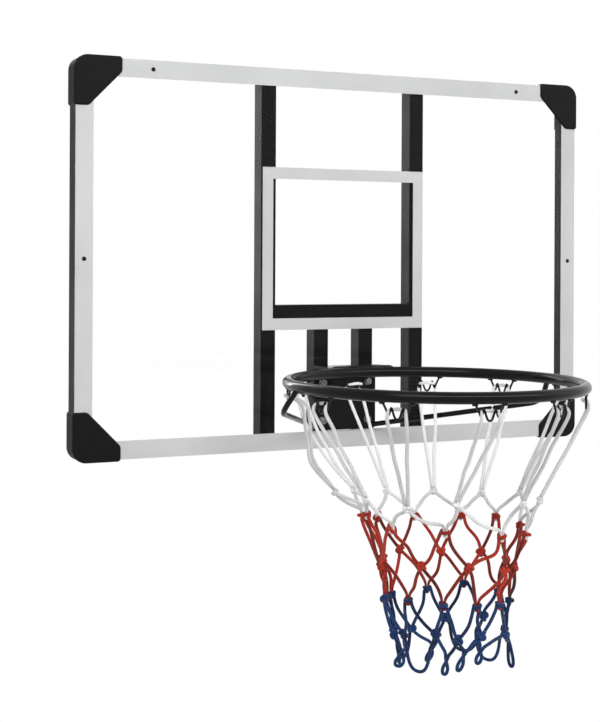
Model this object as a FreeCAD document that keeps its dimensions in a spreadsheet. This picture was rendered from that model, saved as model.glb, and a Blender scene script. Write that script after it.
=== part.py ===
"""Wall-hung basketball backboard: clear panel on a tube frame, fixed rim, hooks and a knotted net.

Frame of the part, in millimetres: the origin is the centre of the bracket bolt pattern on the back of
the two uprights, which is also the centre of the board. X runs to the right, Y back towards whatever
carries the board, Z up. The front of the board faces -Y.
"""
import FreeCAD
import Part
import math
import os
import re

import Sketcher
from FreeCAD import Placement, Rotation, Vector

# Driving dimensions
SIZES = {
    # Clear panel and the films on its face
    "panel_width": 894.0,
    "panel_height": 594.0,
    "panel_thickness": 3.0,
    "film_thickness": 0.3,
    "border_width": 27.5,
    "target_width": 288.0,
    "target_height": 253.0,
    "target_line": 18.0,
    "target_drop": 109.5,
    # Welded tube frame
    "tube_depth": 25.0,
    "tube_wall": 1.5,
    "edge_tube_face": 20.0,
    "upright_face": 25.0,
    "upright_spacing": 266.0,
    "post_spacing": 80.0,
    "cross_bar_face": 25.0,
    "cross_bar_drop": 71.0,
    # Moulded corner caps
    "cap_leg": 75.0,
    "cap_tip": 23.0,
    "cap_wall": 2.85,
    "cap_front_plate": 2.4,
    "cap_back_plate": 2.0,
    "cap_clearance": 0.15,
    "cap_step": 0.8,
    "cap_plug_length": 24.0,
    "cap_plug_fit": 0.2,
    "cap_lip_depth": 9.0,
    "cap_corner_radius": 22.0,
    "cap_end_radius": 5.0,
    "cap_shoulder_radius": 10.0,
    "cap_front_round": 3.0,
    # Screws that hold the panel to the edge tubes
    "screw_head_diameter": 6.5,
    "screw_head_height": 2.0,
    "screw_head_crown": 4.0,
    "screw_shank": 3.0,
    "screw_length": 9.0,
    "screw_clearance": 0.15,
    "top_screw_inset": 121.0,
    # Rim ring and its bent bracket
    "ring_outer": 430.0,
    "bar_diameter": 16.0,
    "ring_reach": 265.0,
    "ring_drop": 166.0,
    "bracket_width": 110.0,
    "bracket_height": 102.5,
    "bracket_plate": 4.0,
    "bracket_bend": 4.0,
    "bracket_corner_radius": 8.0,
    "weld_gap": 0.2,
    # Rim bolts, washers and weld nuts
    "bolt_diameter": 6.0,
    "bolt_hole": 6.6,
    "bolt_top_drop": 27.0,
    "bolt_row_spacing": 60.0,
    "bolt_tip": 1.5,
    "thread_clearance": 0.15,
    "head_flats": 10.0,
    "head_height": 4.2,
    "washer_diameter": 12.5,
    "washer_thickness": 1.6,
    "nut_flats": 10.0,
    "nut_height": 5.0,
    # Bolt pattern for the bracket behind the board
    "bracket_bolt_rise": 400.0,
    "bracket_bolt_hole": 8.4,
    "bracket_nut_flats": 13.0,
    "bracket_nut_height": 6.5,
    # Round bar braces under the rim
    "brace_diameter": 8.0,
    "brace_root_inset": 5.0,
    "brace_root_rise": 6.0,
    "brace_pass": 7.0,
    "brace_elbow_back": 46.0,
    "brace_elbow_drop": 30.0,
    "brace_elbow_radius": 32.0,
    "brace_end_back": 16.0,
    # Bent wire net hooks
    "hook_count": 11,
    "hook_wire": 3.0,
    "hook_foot_half": 18.0,
    "hook_notch_half": 12.0,
    "hook_notch_drop": 15.6,
    "hook_barb_half": 8.0,
    "hook_barb_drop": 6.5,
    "hook_belly_half": 3.5,
    "hook_belly_drop": 21.0,
    "hook_bend": 1.8,
    "hook_lap": 0.5,
    # Knotted net
    "cord_diameter": 5.5,
    "cord_sides": 8,
    "knot_diameter": 12.5,
    "knot_height": 12.5,
    "net_clearance": 0.3,
    "loop_top_drop": 11.0,
    "white_knot_drop": 167.0,
    "white_knot_radius": 145.0,
    "red_top_drop": 200.0,
    "red_top_radius": 116.0,
    "red_knot_drop": 250.0,
    "red_knot_radius": 95.0,
    "blue_top_drop": 303.0,
    "blue_top_radius": 88.0,
    "blue_knot_drop": 347.0,
    "blue_knot_radius": 79.0,
    "hem_drop": 402.0,
    "hem_radius": 80.0,
    # Cuts run this far past what they cut
    "overrun": 2.0,
}

# Shape of the net as shares: sideways lean and front-to-back tilt per unit of length, and where along
# the step between two knots the bottom loops turn
NET_LEAN_SHARE = 0.045
NET_TILT_SHARE = 0.09
HEM_TURN_SHARES = (0.32, 0.68)

# Turn of the first hook from straight behind the ring, in degrees
HOOK_TURN = 3.5

doc = FreeCAD.newDocument("backboard")
sheet = doc.addObject("Spreadsheet::Sheet", "Sizes")
for row, (alias, amount) in enumerate(SIZES.items(), start=1):
    sheet.set(f"A{row}", alias)
    sheet.set(f"B{row}", str(amount))
    sheet.setAlias(f"B{row}", alias)
doc.recompute()

NODES = []


# Reading the sheet
def cells(expression):
    """The expression with every alias in it written as a cell of the sheet."""
    def as_cell(match):
        word = match.group(0)
        return f"{sheet.Name}.{word}" if word in SIZES else word
    return re.sub(r"[a-z_]+", as_cell, expression)


def value(expression):
    """The number that an expression of aliases gives now."""
    return float(sheet.evalExpression(expression))


# Sketches and features
def new_body(label):
    """An empty body that is one node of the part."""
    body = doc.addObject("PartDesign::Body", label)
    body.Label = label
    NODES.append(body)
    return body


def place(item, x="0", y="0", z="0", turn=None):
    """Bind an object's position to expressions, with an optional turn."""
    if turn is not None:
        item.Placement = Placement(Vector(), turn)
    for axis, expression in zip("xyz", (x, y, z)):
        item.setExpression(f"Placement.Base.{axis}", cells(expression))


def new_sketch(body, name, role, offset="0"):
    """A sketch on one of the body's origin planes, moved along the plane's normal."""
    sketch = body.newObject("Sketcher::SketchObject", name)
    plane = next(item for item in body.Origin.OriginFeatures if item.Role == role)
    sketch.AttachmentSupport = [(plane, "")]
    sketch.MapMode = "FlatFace"
    sketch.setExpression("AttachmentOffset.Base.z", cells(offset))
    return sketch


def bind_point(sketch, geometry, spot, across, up):
    """Tie one point of the sketch's geometry to two expressions."""
    for kind, expression in (("DistanceX", across), ("DistanceY", up)):
        rule = Sketcher.Constraint(kind, -1, 1, geometry, spot, value(expression))
        index = sketch.addConstraint(rule)
        sketch.setExpression(f"Constraints[{index}]", cells(expression))


def add_outline(sketch, points):
    """A closed outline of straight lines through points given as expressions."""
    first = sketch.GeometryCount
    count = len(points)
    spots = [Vector(value(across), value(up), 0) for across, up in points]
    for i in range(count):
        sketch.addGeometry(Part.LineSegment(spots[i], spots[(i + 1) % count]), False)
    for i in range(count):
        following = first + (i + 1) % count
        sketch.addConstraint(Sketcher.Constraint("Coincident", first + i, 2, following, 1))
    for i, (across, up) in enumerate(points):
        bind_point(sketch, first + i, 1, across, up)


def add_rectangle(sketch, left, low, right, high):
    """A rectangle between two corners given as expressions."""
    add_outline(sketch, [(left, low), (right, low), (right, high), (left, high)])


def add_round_cornered_square(sketch, low, high, middle):
    """A square between two expressions, its low corner an arc about a point on the diagonal."""
    first = sketch.GeometryCount
    points = [(middle, low), (high, low), (high, high), (low, high), (low, middle)]
    spots = [Vector(value(across), value(up), 0) for across, up in points]
    for start, end in zip(spots, spots[1:]):
        sketch.addGeometry(Part.LineSegment(start, end), False)
    centre = Vector(value(middle), value(middle), 0)
    radius = f"{middle} - {low}"
    circle = Part.Circle(centre, Vector(0, 0, 1), value(radius))
    arc = sketch.addGeometry(Part.ArcOfCircle(circle, math.pi, 3 * math.pi / 2), False)
    for i in range(first, arc - 1):
        sketch.addConstraint(Sketcher.Constraint("Coincident", i, 2, i + 1, 1))
    sketch.addConstraint(Sketcher.Constraint("Coincident", arc - 1, 2, arc, 1))
    sketch.addConstraint(Sketcher.Constraint("Coincident", arc, 2, first, 1))
    for i, (across, up) in enumerate(points[:-1]):
        bind_point(sketch, first + i, 1, across, up)
    bind_point(sketch, arc - 1, 2, low, middle)
    rule = sketch.addConstraint(Sketcher.Constraint("Radius", arc, value(radius)))
    sketch.setExpression(f"Constraints[{rule}]", cells(radius))


def add_circle(sketch, across, up, diameter):
    """A circle whose centre and diameter are expressions."""
    centre = Vector(value(across), value(up), 0)
    circle = Part.Circle(centre, Vector(0, 0, 1), value(diameter) / 2)
    index = sketch.addGeometry(circle, False)
    bind_point(sketch, index, 3, across, up)
    rule = sketch.addConstraint(Sketcher.Constraint("Diameter", index, value(diameter)))
    sketch.setExpression(f"Constraints[{rule}]", cells(diameter))


def pad(body, sketch, length, midplane=False):
    """Pad a sketch by an expression."""
    feature = body.newObject("PartDesign::Pad", f"{sketch.Name}_pad")
    feature.Profile = sketch
    feature.Midplane = midplane
    feature.setExpression("Length", cells(length))
    doc.recompute()
    return feature


def pocket(body, sketch, length, reverse=False):
    """Cut a sketch into the body by an expression, and make sure that it took something away."""
    before = body.Shape.Volume
    feature = body.newObject("PartDesign::Pocket", f"{sketch.Name}_pocket")
    feature.Profile = sketch
    feature.Reversed = reverse
    feature.setExpression("Length", cells(length))
    doc.recompute()
    if not body.Shape.Volume < before:
        raise RuntimeError(f"{sketch.Name} cuts nothing")
    return feature


def round_edges(body, name, radius, wanted):
    """Fillet the edges of the body that the test picks."""
    tip = body.Tip
    picked = [f"Edge{i}" for i, edge in enumerate(tip.Shape.Edges, start=1) if wanted(edge)]
    feature = body.newObject("PartDesign::Fillet", name)
    feature.Base = (tip, picked)
    feature.setExpression("Radius", cells(radius))
    doc.recompute()
    if not picked or not feature.isValid():
        raise RuntimeError(f"{name} rounds nothing")
    return feature


def runs_along(edge, axis):
    """Whether an edge is straight and parallel to an axis."""
    if len(edge.Vertexes) != 2 or not isinstance(edge.Curve, Part.Line):
        return False
    return abs(abs(edge.Curve.Direction.dot(axis)) - 1) < Part.Precision.angular()


def passes(edge, spots, axes):
    """Whether an edge's start has the coordinates of one of the spots along the named axes."""
    start = edge.Vertexes[0].Point
    near = value("cap_clearance")
    here = [getattr(start, axis) for axis in axes]
    return any(all(abs(a - b) < near for a, b in zip(here, spot)) for spot in spots)


def add_node(label, shape):
    """A node whose shape is worked out here."""
    feature = doc.addObject("Part::Feature", label)
    feature.Label = label
    feature.Shape = shape
    feature.Placement = Placement()
    NODES.append(feature)
    return feature


DEPTH_AXIS = Vector(0, 1, 0)

# Where the fasteners are, as expressions
PANEL_FRONT = "(tube_depth + panel_thickness)"
PANEL_CORNER = "cap_corner_radius - cap_wall - cap_clearance"
TUBE_LINE_X = "(panel_width - edge_tube_face) / 2"
TUBE_LINE_Z = "(panel_height - edge_tube_face) / 2"
SCREW_LINE_X = "(panel_width - border_width) / 2"
SCREW_LINE_Z = "(panel_height - border_width) / 2"
SCREW_OFFSET = "(edge_tube_face - border_width) / 2"
SCREWS = [
    ("top_screw_inset - panel_width / 2", SCREW_LINE_Z),
    ("panel_width / 2 - top_screw_inset", SCREW_LINE_Z),
    (f"-{SCREW_LINE_X}", "0"),
    (SCREW_LINE_X, "0"),
]
BOLT_ROWS = ("-ring_drop - bolt_top_drop", "-ring_drop - bolt_top_drop - bolt_row_spacing")
RIM_BOLTS = [(f"{side}post_spacing / 2", row) for side in ("-", "") for row in BOLT_ROWS]
BRACKET_BOLTS = [
    (f"{side}upright_spacing / 2", f"{end}bracket_bolt_rise / 2") for side in ("-", "") for end in ("-", "")
]
SCREW_HOLE = "screw_shank + 2 * screw_clearance"


def round_panel_corners(body, name):
    """Round the four outer corners of a sheet as large as the panel, to fit inside the caps."""
    half_x, half_z = value("panel_width / 2"), value("panel_height / 2")
    corners = [(x, z) for x in (-half_x, half_x) for z in (-half_z, half_z)]
    round_edges(
        body, name, PANEL_CORNER, lambda edge: runs_along(edge, DEPTH_AXIS) and passes(edge, corners, "xz"))


# Clear panel
def make_panel():
    body = new_body("panel")
    sketch = new_sketch(body, "panel_outline", "XZ_Plane")
    add_rectangle(sketch, "-panel_width / 2", "-panel_height / 2", "panel_width / 2", "panel_height / 2")
    for across, up in SCREWS:
        add_circle(sketch, across, up, SCREW_HOLE)
    for across, up in RIM_BOLTS:
        add_circle(sketch, across, up, "bolt_hole")
    pad(body, sketch, "panel_thickness")
    round_panel_corners(body, "panel_corners")
    place(body, y="-tube_depth")


# White border and target rectangle, thin films on the panel's front
def make_films():
    border = new_body("border_band")
    sketch = new_sketch(border, "border_outline", "XZ_Plane")
    add_rectangle(sketch, "-panel_width / 2", "-panel_height / 2", "panel_width / 2", "panel_height / 2")
    inner_x = "panel_width / 2 - border_width"
    inner_z = "panel_height / 2 - border_width"
    add_rectangle(sketch, f"-({inner_x})", f"-({inner_z})", inner_x, inner_z)
    for across, up in SCREWS:
        add_circle(sketch, across, up, SCREW_HOLE)
    pad(border, sketch, "film_thickness")
    round_panel_corners(border, "border_corners")
    place(border, y=f"-{PANEL_FRONT}")

    target = new_body("target_band")
    sketch = new_sketch(target, "target_outline", "XZ_Plane")
    low = "-target_drop"
    high = "target_height - target_drop"
    add_rectangle(sketch, "-target_width / 2", low, "target_width / 2", high)
    inner_x = "target_width / 2 - target_line"
    add_rectangle(sketch, f"-({inner_x})", f"{low} + target_line", inner_x, f"{high} - target_line")
    pad(target, sketch, "film_thickness")
    place(target, y=f"-{PANEL_FRONT}")


# Tubes of the frame
def make_tube(label, face, length, upright, front_holes=(), back_holes=()):
    """A rectangular tube along Z or X from its own origin, its back on the plane y = 0."""
    body = new_body(label)
    sketch = new_sketch(body, f"{label}_section", "XY_Plane" if upright else "YZ_Plane")
    wide = (f"-{face} / 2", f"{face} / 2")
    deep = ("-tube_depth", "0")
    across, up = (wide, deep) if upright else (deep, wide)
    add_rectangle(sketch, across[0], up[0], across[1], up[1])
    bore_low = [f"{low} + tube_wall" for low, high in (across, up)]
    bore_high = [f"{high} - tube_wall" for low, high in (across, up)]
    add_rectangle(sketch, *bore_low, *bore_high)
    pad(body, sketch, length)
    if front_holes:
        holes = new_sketch(body, f"{label}_front_holes", "XZ_Plane", "tube_depth + overrun")
        for spot_x, spot_z, diameter in front_holes:
            add_circle(holes, spot_x, spot_z, diameter)
        pocket(body, holes, "tube_wall + 2 * overrun")
    if back_holes:
        holes = new_sketch(body, f"{label}_back_holes", "XZ_Plane", "-overrun")
        for spot_x, spot_z, diameter in back_holes:
            add_circle(holes, spot_x, spot_z, diameter)
        pocket(body, holes, "tube_wall + 2 * overrun", reverse=True)
    return body


def make_frame():
    side_length = "panel_height - 2 * edge_tube_face"
    top_length = "panel_width - 2 * edge_tube_face"
    left_end = "edge_tube_face - panel_width / 2"
    top_holes = [
        (f"{across} - ({left_end})", SCREW_OFFSET, SCREW_HOLE) for across, up in SCREWS if up == SCREW_LINE_Z
    ]
    top = make_tube("top_tube", "edge_tube_face", top_length, False, top_holes)
    place(top, x=left_end, z=TUBE_LINE_Z)
    bottom = make_tube("bottom_tube", "edge_tube_face", top_length, False)
    place(bottom, x=left_end, z=f"-{TUBE_LINE_Z}")

    low = "edge_tube_face - panel_height / 2"
    for side, sign in (("left", "-"), ("right", "")):
        hole = [(f"{sign}{SCREW_OFFSET}", "panel_height / 2 - edge_tube_face", SCREW_HOLE)]
        edge = make_tube(f"{side}_tube", "edge_tube_face", side_length, True, hole)
        place(edge, x=f"{sign}{TUBE_LINE_X}", z=low)
        middle = "panel_height / 2 - edge_tube_face"
        holes = [("0", f"{middle} {end} bracket_bolt_rise / 2", "bracket_bolt_hole") for end in "-+"]
        upright = make_tube(f"{side}_upright", "upright_face", side_length, True, (), holes)
        place(upright, x=f"{sign}upright_spacing / 2", z=low)

    bar = make_tube("cross_bar", "cross_bar_face", "upright_spacing - upright_face", False)
    place(bar, x="(upright_face - upright_spacing) / 2", z="-cross_bar_drop - cross_bar_face / 2")

    post_length = "panel_height / 2 - edge_tube_face - cross_bar_drop - cross_bar_face"
    for side, sign in (("left", "-"), ("right", "")):
        holes = [("0", f"{row} - ({low})", "bolt_hole") for row in BOLT_ROWS]
        post = make_tube(f"{side}_hoop_post", "upright_face", post_length, True, holes)
        place(post, x=f"{sign}post_spacing / 2", z=low)


# Corner caps: a front plate, two outer walls and a back plate that only covers the tubes, open along the
# slanted side, with a core between the plates whose two plugs go into the ends of the edge tubes
def cap_outline(inset):
    """The outline of a cap from its outer corner, its three outer sides set in by an expression."""
    far = f"cap_leg - {inset}"
    return [(inset, inset), (far, inset), (far, "cap_tip"), ("cap_tip", far), (inset, far)]


def make_cap(label, sign_x, sign_z, degrees):
    body = new_body(label)
    front = f"({PANEL_FRONT} + film_thickness + cap_clearance + cap_front_plate)"
    back = "(cap_clearance + cap_back_plate)"
    lip = new_sketch(body, f"{label}_lip", "XZ_Plane", f"{front} - cap_lip_depth")
    add_outline(lip, cap_outline("0"))
    pad(body, lip, "cap_lip_depth")
    skirt = new_sketch(body, f"{label}_skirt", "XZ_Plane", f"-{back}")
    add_outline(skirt, cap_outline("cap_step"))
    pad(body, skirt, f"{front} + {back} - cap_lip_depth")

    leg, tip, step = value("cap_leg"), value("cap_tip"), value("cap_step")
    rounds = [
        ("corner", "cap_corner_radius", [(0, 0)]),
        ("skirt_corner", "cap_corner_radius - cap_step", [(step, step)]),
        ("ends", "cap_end_radius", [(leg, 0), (0, leg)]),
        ("skirt_ends", "cap_end_radius - cap_step", [(leg - step, step), (step, leg - step)]),
        ("shoulders", "cap_shoulder_radius", [(leg, tip), (tip, leg)]),
        ("skirt_shoulders", "cap_shoulder_radius", [(leg - step, tip), (tip, leg - step)]),
    ]
    for name, radius, spots in rounds:
        round_edges(
            body, f"{label}_{name}", radius,
            lambda edge, spots=spots: runs_along(edge, DEPTH_AXIS) and passes(edge, spots, "xz"))
    face_y = -value(front)
    round_edges(
        body, f"{label}_front_round", "cap_front_round",
        lambda edge: all(abs(v.Point.y - face_y) < value("cap_clearance") for v in edge.Vertexes))

    far = "cap_leg + overrun"
    slot_front = f"{PANEL_FRONT} + film_thickness + cap_clearance"
    slot = new_sketch(body, f"{label}_panel_slot", "XZ_Plane", slot_front)
    add_round_cornered_square(slot, "cap_wall", far, "cap_corner_radius")
    pocket(body, slot, "panel_thickness + film_thickness + 2 * cap_clearance")

    core = "(cap_wall + edge_tube_face)"
    room = new_sketch(body, f"{label}_tube_room", "XZ_Plane", "tube_depth + cap_clearance")
    add_outline(room, [
        (core, "cap_wall"), (far, "cap_wall"), (far, far),
        ("cap_wall", far), ("cap_wall", core), (core, core),
    ])
    pocket(body, room, "tube_depth + 2 * cap_clearance")
    opening = new_sketch(body, f"{label}_back_opening", "XZ_Plane", "-cap_clearance")
    inside = f"{core} + cap_clearance"
    add_rectangle(opening, inside, inside, far, far)
    pocket(body, opening, "cap_back_plate + overrun")

    near = "(cap_wall + cap_clearance + tube_wall + cap_plug_fit)"
    wide = "(cap_wall + cap_clearance + edge_tube_face - tube_wall - cap_plug_fit)"
    deep = ("tube_wall + cap_plug_fit - tube_depth", "-tube_wall - cap_plug_fit")
    plug = new_sketch(body, f"{label}_level_plug", "YZ_Plane", core)
    add_rectangle(plug, deep[0], near, deep[1], wide)
    pad(body, plug, "cap_plug_length")
    plug = new_sketch(body, f"{label}_upright_plug", "XY_Plane", core)
    add_rectangle(plug, near, deep[0], wide, deep[1])
    pad(body, plug, "cap_plug_length")
    place(
        body, x=f"{sign_x}(panel_width / 2 + cap_wall + cap_clearance)",
        z=f"{sign_z}(panel_height / 2 + cap_wall + cap_clearance)", turn=Rotation(DEPTH_AXIS, degrees))


def make_caps():
    make_cap("corner_cap_lower_left", "-", "-", 0)
    make_cap("corner_cap_upper_left", "-", "", 90)
    make_cap("corner_cap_upper_right", "", "", 180)
    make_cap("corner_cap_lower_right", "", "-", -90)


# Fasteners, each kind a group of separate solids
def spots_at(places, depth):
    """Points in the part at places given as expressions, at one depth."""
    return [Vector(value(across), depth, value(up)) for across, up in places]


def hexagon(flats, height, base, bore=0):
    """A hexagonal prism along +Y from a point, with an optional bore through it."""
    reach = flats / math.sqrt(3)
    corners = [
        base + Vector(reach * math.cos(turn), 0, reach * math.sin(turn))
        for turn in (math.radians(60 * i) for i in range(7))
    ]
    prism = Part.Face(Part.makePolygon(corners)).extrude(DEPTH_AXIS * height)
    if bore:
        prism = prism.cut(Part.makeCylinder(bore / 2, height, base, DEPTH_AXIS))
    return prism


def make_screws():
    face = -value(PANEL_FRONT) - value("film_thickness")
    head_height = value("screw_head_height")
    solids = []
    for spot in spots_at(SCREWS, face):
        top = spot - DEPTH_AXIS * head_height
        head = Part.makeCone(
            value("screw_head_crown") / 2, value("screw_head_diameter") / 2, head_height, top, DEPTH_AXIS)
        shank = Part.makeCylinder(value("screw_shank") / 2, value("screw_length"), spot, DEPTH_AXIS)
        solids.append(head.fuse(shank))
    add_node("panel_screws", Part.makeCompound(solids))


def make_rim_fasteners():
    plate_face = -value(PANEL_FRONT) - value("bracket_plate")
    seat = plate_face - value("washer_thickness")
    nut_face = -value("tube_depth") + value("tube_wall")
    tip = nut_face + value("nut_height") + value("bolt_tip")
    radius = value("bolt_diameter") / 2
    thread = value("bolt_diameter") + 2 * value("thread_clearance")
    bolts, washers, nuts = [], [], []
    for spot in spots_at(RIM_BOLTS, seat):
        head = hexagon(value("head_flats"), value("head_height"), spot - DEPTH_AXIS * value("head_height"))
        bolts.append(head.fuse(Part.makeCylinder(radius, tip - seat, spot, DEPTH_AXIS)))
        disc = Part.makeCylinder(
            value("washer_diameter") / 2, value("washer_thickness"), spot, DEPTH_AXIS)
        hole = Part.makeCylinder(value("bolt_hole") / 2, value("washer_thickness"), spot, DEPTH_AXIS)
        washers.append(disc.cut(hole))
    for spot in spots_at(RIM_BOLTS, nut_face):
        nuts.append(hexagon(value("nut_flats"), value("nut_height"), spot, thread))
    add_node("rim_bolts", Part.makeCompound(bolts))
    add_node("rim_washers", Part.makeCompound(washers))
    add_node("rim_weld_nuts", Part.makeCompound(nuts))


def make_bracket_nuts():
    height = value("bracket_nut_height")
    face = -value("tube_wall") - height
    flats, bore = value("bracket_nut_flats"), value("bracket_bolt_hole")
    nuts = [hexagon(flats, height, spot, bore) for spot in spots_at(BRACKET_BOLTS, face)]
    add_node("bracket_weld_nuts", Part.makeCompound(nuts))


# Rim ring, bracket and braces
def ring_centre():
    """The middle of the ring, on the centre line of its bar."""
    level = -value("ring_drop") - value("bar_diameter") / 2
    return Vector(0, -value(PANEL_FRONT) - value("ring_reach"), level)


def make_ring():
    ring = doc.addObject("Part::Torus", "rim_ring")
    ring.setExpression("Radius1", cells("(ring_outer - bar_diameter) / 2"))
    ring.setExpression("Radius2", cells("bar_diameter / 2"))
    place(ring, y=f"-{PANEL_FRONT} - ring_reach", z="-ring_drop - bar_diameter / 2")
    NODES.append(ring)


def make_bracket():
    """A plate bent to an angle: one leg bolted to the board, the other welded to the ring's bar."""
    body = new_body("rim_bracket")
    profile = new_sketch(body, "bracket_profile", "YZ_Plane")
    reach = "-(ring_reach - ring_outer / 2 + bar_diameter)"
    add_outline(profile, [
        ("0", "0"), (reach, "0"), (reach, "-bracket_plate"), ("-bracket_plate", "-bracket_plate"),
        ("-bracket_plate", "-bracket_height"), ("0", "-bracket_height"),
    ])
    pad(body, profile, "bracket_width", midplane=True)
    width_axis = Vector(1, 0, 0)
    plate = value("bracket_plate")
    round_edges(
        body, "bracket_inner_bend", "bracket_bend",
        lambda edge: runs_along(edge, width_axis) and passes(edge, [(-plate, -plate)], "yz"))
    round_edges(
        body, "bracket_outer_bend", "bracket_bend + bracket_plate",
        lambda edge: runs_along(edge, width_axis) and passes(edge, [(0, 0)], "yz"))
    half, low = value("bracket_width") / 2, -value("bracket_height")
    round_edges(
        body, "bracket_corners", "bracket_corner_radius",
        lambda edge: runs_along(edge, DEPTH_AXIS) and passes(edge, [(half, low), (-half, low)], "xz"))

    holes = new_sketch(body, "bracket_holes", "XZ_Plane", "bracket_plate + overrun")
    for across, up in RIM_BOLTS:
        add_circle(holes, across, f"{up} + ring_drop", "bolt_hole")
    pocket(body, holes, "bracket_plate + 2 * overrun")

    seat = new_sketch(body, "bracket_ring_seat", "XY_Plane", "overrun")
    chord = "sqrt(bracket_plate * (bar_diameter - bracket_plate))"
    add_circle(seat, "0", "-ring_reach", f"ring_outer - bar_diameter + 2 * ({chord} + weld_gap)")
    pocket(body, seat, "bracket_plate + 2 * overrun")
    place(body, y=f"-{PANEL_FRONT}", z="-ring_drop")


def rounded_path(points, radius):
    """A wire of straight runs through the points, joined by tangent arcs of one radius."""
    edges = []
    start = points[0]
    for before, corner, after in zip(points, points[1:], points[2:]):
        back = (before - corner).normalize()
        ahead = (after - corner).normalize()
        half = back.getAngle(ahead) / 2
        trim = radius / math.tan(half)
        middle = (back + ahead).normalize()
        bow = corner + middle * (radius / math.sin(half) - radius)
        edges.append(Part.LineSegment(start, corner + back * trim).toShape())
        edges.append(Part.Arc(corner + back * trim, bow, corner + ahead * trim).toShape())
        start = corner + ahead * trim
    edges.append(Part.LineSegment(start, points[-1]).toShape())
    return Part.Wire(edges)


def bar_along(path, diameter):
    """A round bar along a wire that starts with a straight run."""
    first = path.Edges[0]
    start = first.valueAt(first.FirstParameter)
    section = Part.Wire(Part.makeCircle(diameter / 2, start, first.tangentAt(first.FirstParameter)))
    return path.makePipeShell([section], True, False)


def make_braces():
    """Round bars from the bracket's lower corners, bent up under the ring at its widest points."""
    centre = ring_centre()
    ring_radius = (value("ring_outer") - value("bar_diameter")) / 2
    bar = value("bar_diameter")
    around = Part.makeTorus(ring_radius, bar / 2 + value("weld_gap"), centre)
    face = -value(PANEL_FRONT) - value("bracket_plate") - value("weld_gap")
    root_x = value("bracket_width") / 2 - value("brace_root_inset")
    root_z = -value("ring_drop") - value("bracket_height") + value("brace_root_rise")
    # Seen from above, the long run from the root passes the ring's axis just inside the ring's bar
    root_back = face - centre.y
    passing = ring_radius - value("brace_pass")
    turn = math.atan2(root_back, root_x) - math.acos(passing / math.hypot(root_x, root_back))
    elbow_x = (passing - value("brace_elbow_back") * math.sin(turn)) / math.cos(turn)
    for side, sign in (("left", -1), ("right", 1)):
        root = Vector(sign * root_x, face, root_z)
        end = Vector(sign * ring_radius, centre.y + value("brace_end_back"), centre.z)
        elbow_z = centre.z - bar / 2 - value("brace_elbow_drop")
        elbow = Vector(sign * elbow_x, centre.y + value("brace_elbow_back"), elbow_z)
        inner = root + (root - elbow).normalize() * value("brace_diameter")
        path = rounded_path([inner, elbow, end], value("brace_elbow_radius"))
        bar_shape = bar_along(path, value("brace_diameter"))
        room = Part.makeBox(
            value("bracket_width"), value("bracket_height"), value("bracket_height"),
            Vector(sign * root_x - value("bracket_width") / 2, face, root_z - value("bracket_height") / 2))
        shape = bar_shape.cut(room).cut(around)
        solids = sorted(shape.Solids, key=lambda solid: solid.Volume)
        add_node(f"{side}_brace", solids[-1])


# Net hooks
def eased_corners(points, trim):
    """The points with each corner between the ends cut off by a short run."""
    eased = [points[0]]
    for before, corner, after in zip(points, points[1:], points[2:]):
        eased.append(corner + (before - corner).normalize() * trim)
        eased.append(corner + (after - corner).normalize() * trim)
    return eased + [points[-1]]


def polygon_prism(base, axis, diameter, length):
    """A prism of the cord's number of sides, along an axis from a point."""
    sides = round(value("cord_sides"))
    turn = Rotation(Vector(0, 0, 1), axis)
    corners = []
    for i in range(sides + 1):
        angle = 2 * math.pi * (i % sides) / sides
        corners.append(base + turn.multVec(Vector(math.cos(angle), math.sin(angle), 0) * (diameter / 2)))
    return Part.Face(Part.makePolygon(corners)).extrude(axis * length)


def stretch(start, end, diameter, past=0):
    """A straight stretch of wire or cord between two points, run past both by a length."""
    axis = (end - start).normalize()
    length = start.distanceToPoint(end) + 2 * past
    return polygon_prism(start - axis * past, axis, diameter, length)


def joined(solids):
    """One solid of many that cross each other."""
    return solids[0].multiFuse(solids[1:]).removeSplitter()


def around_ring(index, phase=0):
    """The angle of one of the evenly spaced hooks, or of a place between two, from the board side."""
    return 90 + HOOK_TURN + 360 * (index + phase) / value("hook_count")


def make_hooks():
    """W-shaped wire hooks welded under the ring by their two feet, the wire with as many sides as a cord."""
    centre = ring_centre()
    radius = (value("ring_outer") - value("bar_diameter")) / 2
    top = centre.z - value("bar_diameter") / 2 - value("weld_gap")
    half_path = [
        ("hook_foot_half", "hook_wire / 2"), ("hook_notch_half", "hook_notch_drop"),
        ("hook_barb_half", "hook_barb_drop"), ("hook_belly_half", "hook_belly_drop"),
    ]
    right = [Vector(value(across), -radius, -value(drop)) for across, drop in half_path]
    left = [Vector(-spot.x, spot.y, spot.z) for spot in reversed(right)]
    spots = eased_corners(right + left, value("hook_bend"))
    runs = [
        stretch(start, end, value("hook_wire"), value("hook_lap")) for start, end in zip(spots, spots[1:])
    ]
    wire = joined(runs)
    solids = []
    for i in range(round(value("hook_count"))):
        hook = wire.copy()
        turn = Rotation(Vector(0, 0, 1), around_ring(i) + 90)
        hook.Placement = Placement(Vector(centre.x, centre.y, top), turn)
        solids.append(hook)
    add_node("net_hooks", Part.makeCompound(solids))


# Knotted net of three colours
def net_spot(drop, radius, index, phase):
    """A point of the net by its drop below the ring's bar, its radius and its place round the net."""
    centre = ring_centre()
    turn = math.radians(around_ring(index, phase))
    across = drop * NET_LEAN_SHARE + radius * math.cos(turn)
    back = radius * math.sin(turn)
    return centre + Vector(across, back, -drop - back * NET_TILT_SHARE)


def cord(start, end, past=0):
    """A stretch of the net's cord between two points, run past both by a length."""
    return stretch(start, end, value("cord_diameter"), past)


def knot(spot, room=0):
    """A knot about a point, swollen by the room round it where it is used as a cutter."""
    height = value("knot_height") + 2 * room
    up = Vector(0, 0, 1)
    return polygon_prism(spot - up * (height / 2), up, value("knot_diameter") + 2 * room, height)


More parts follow.
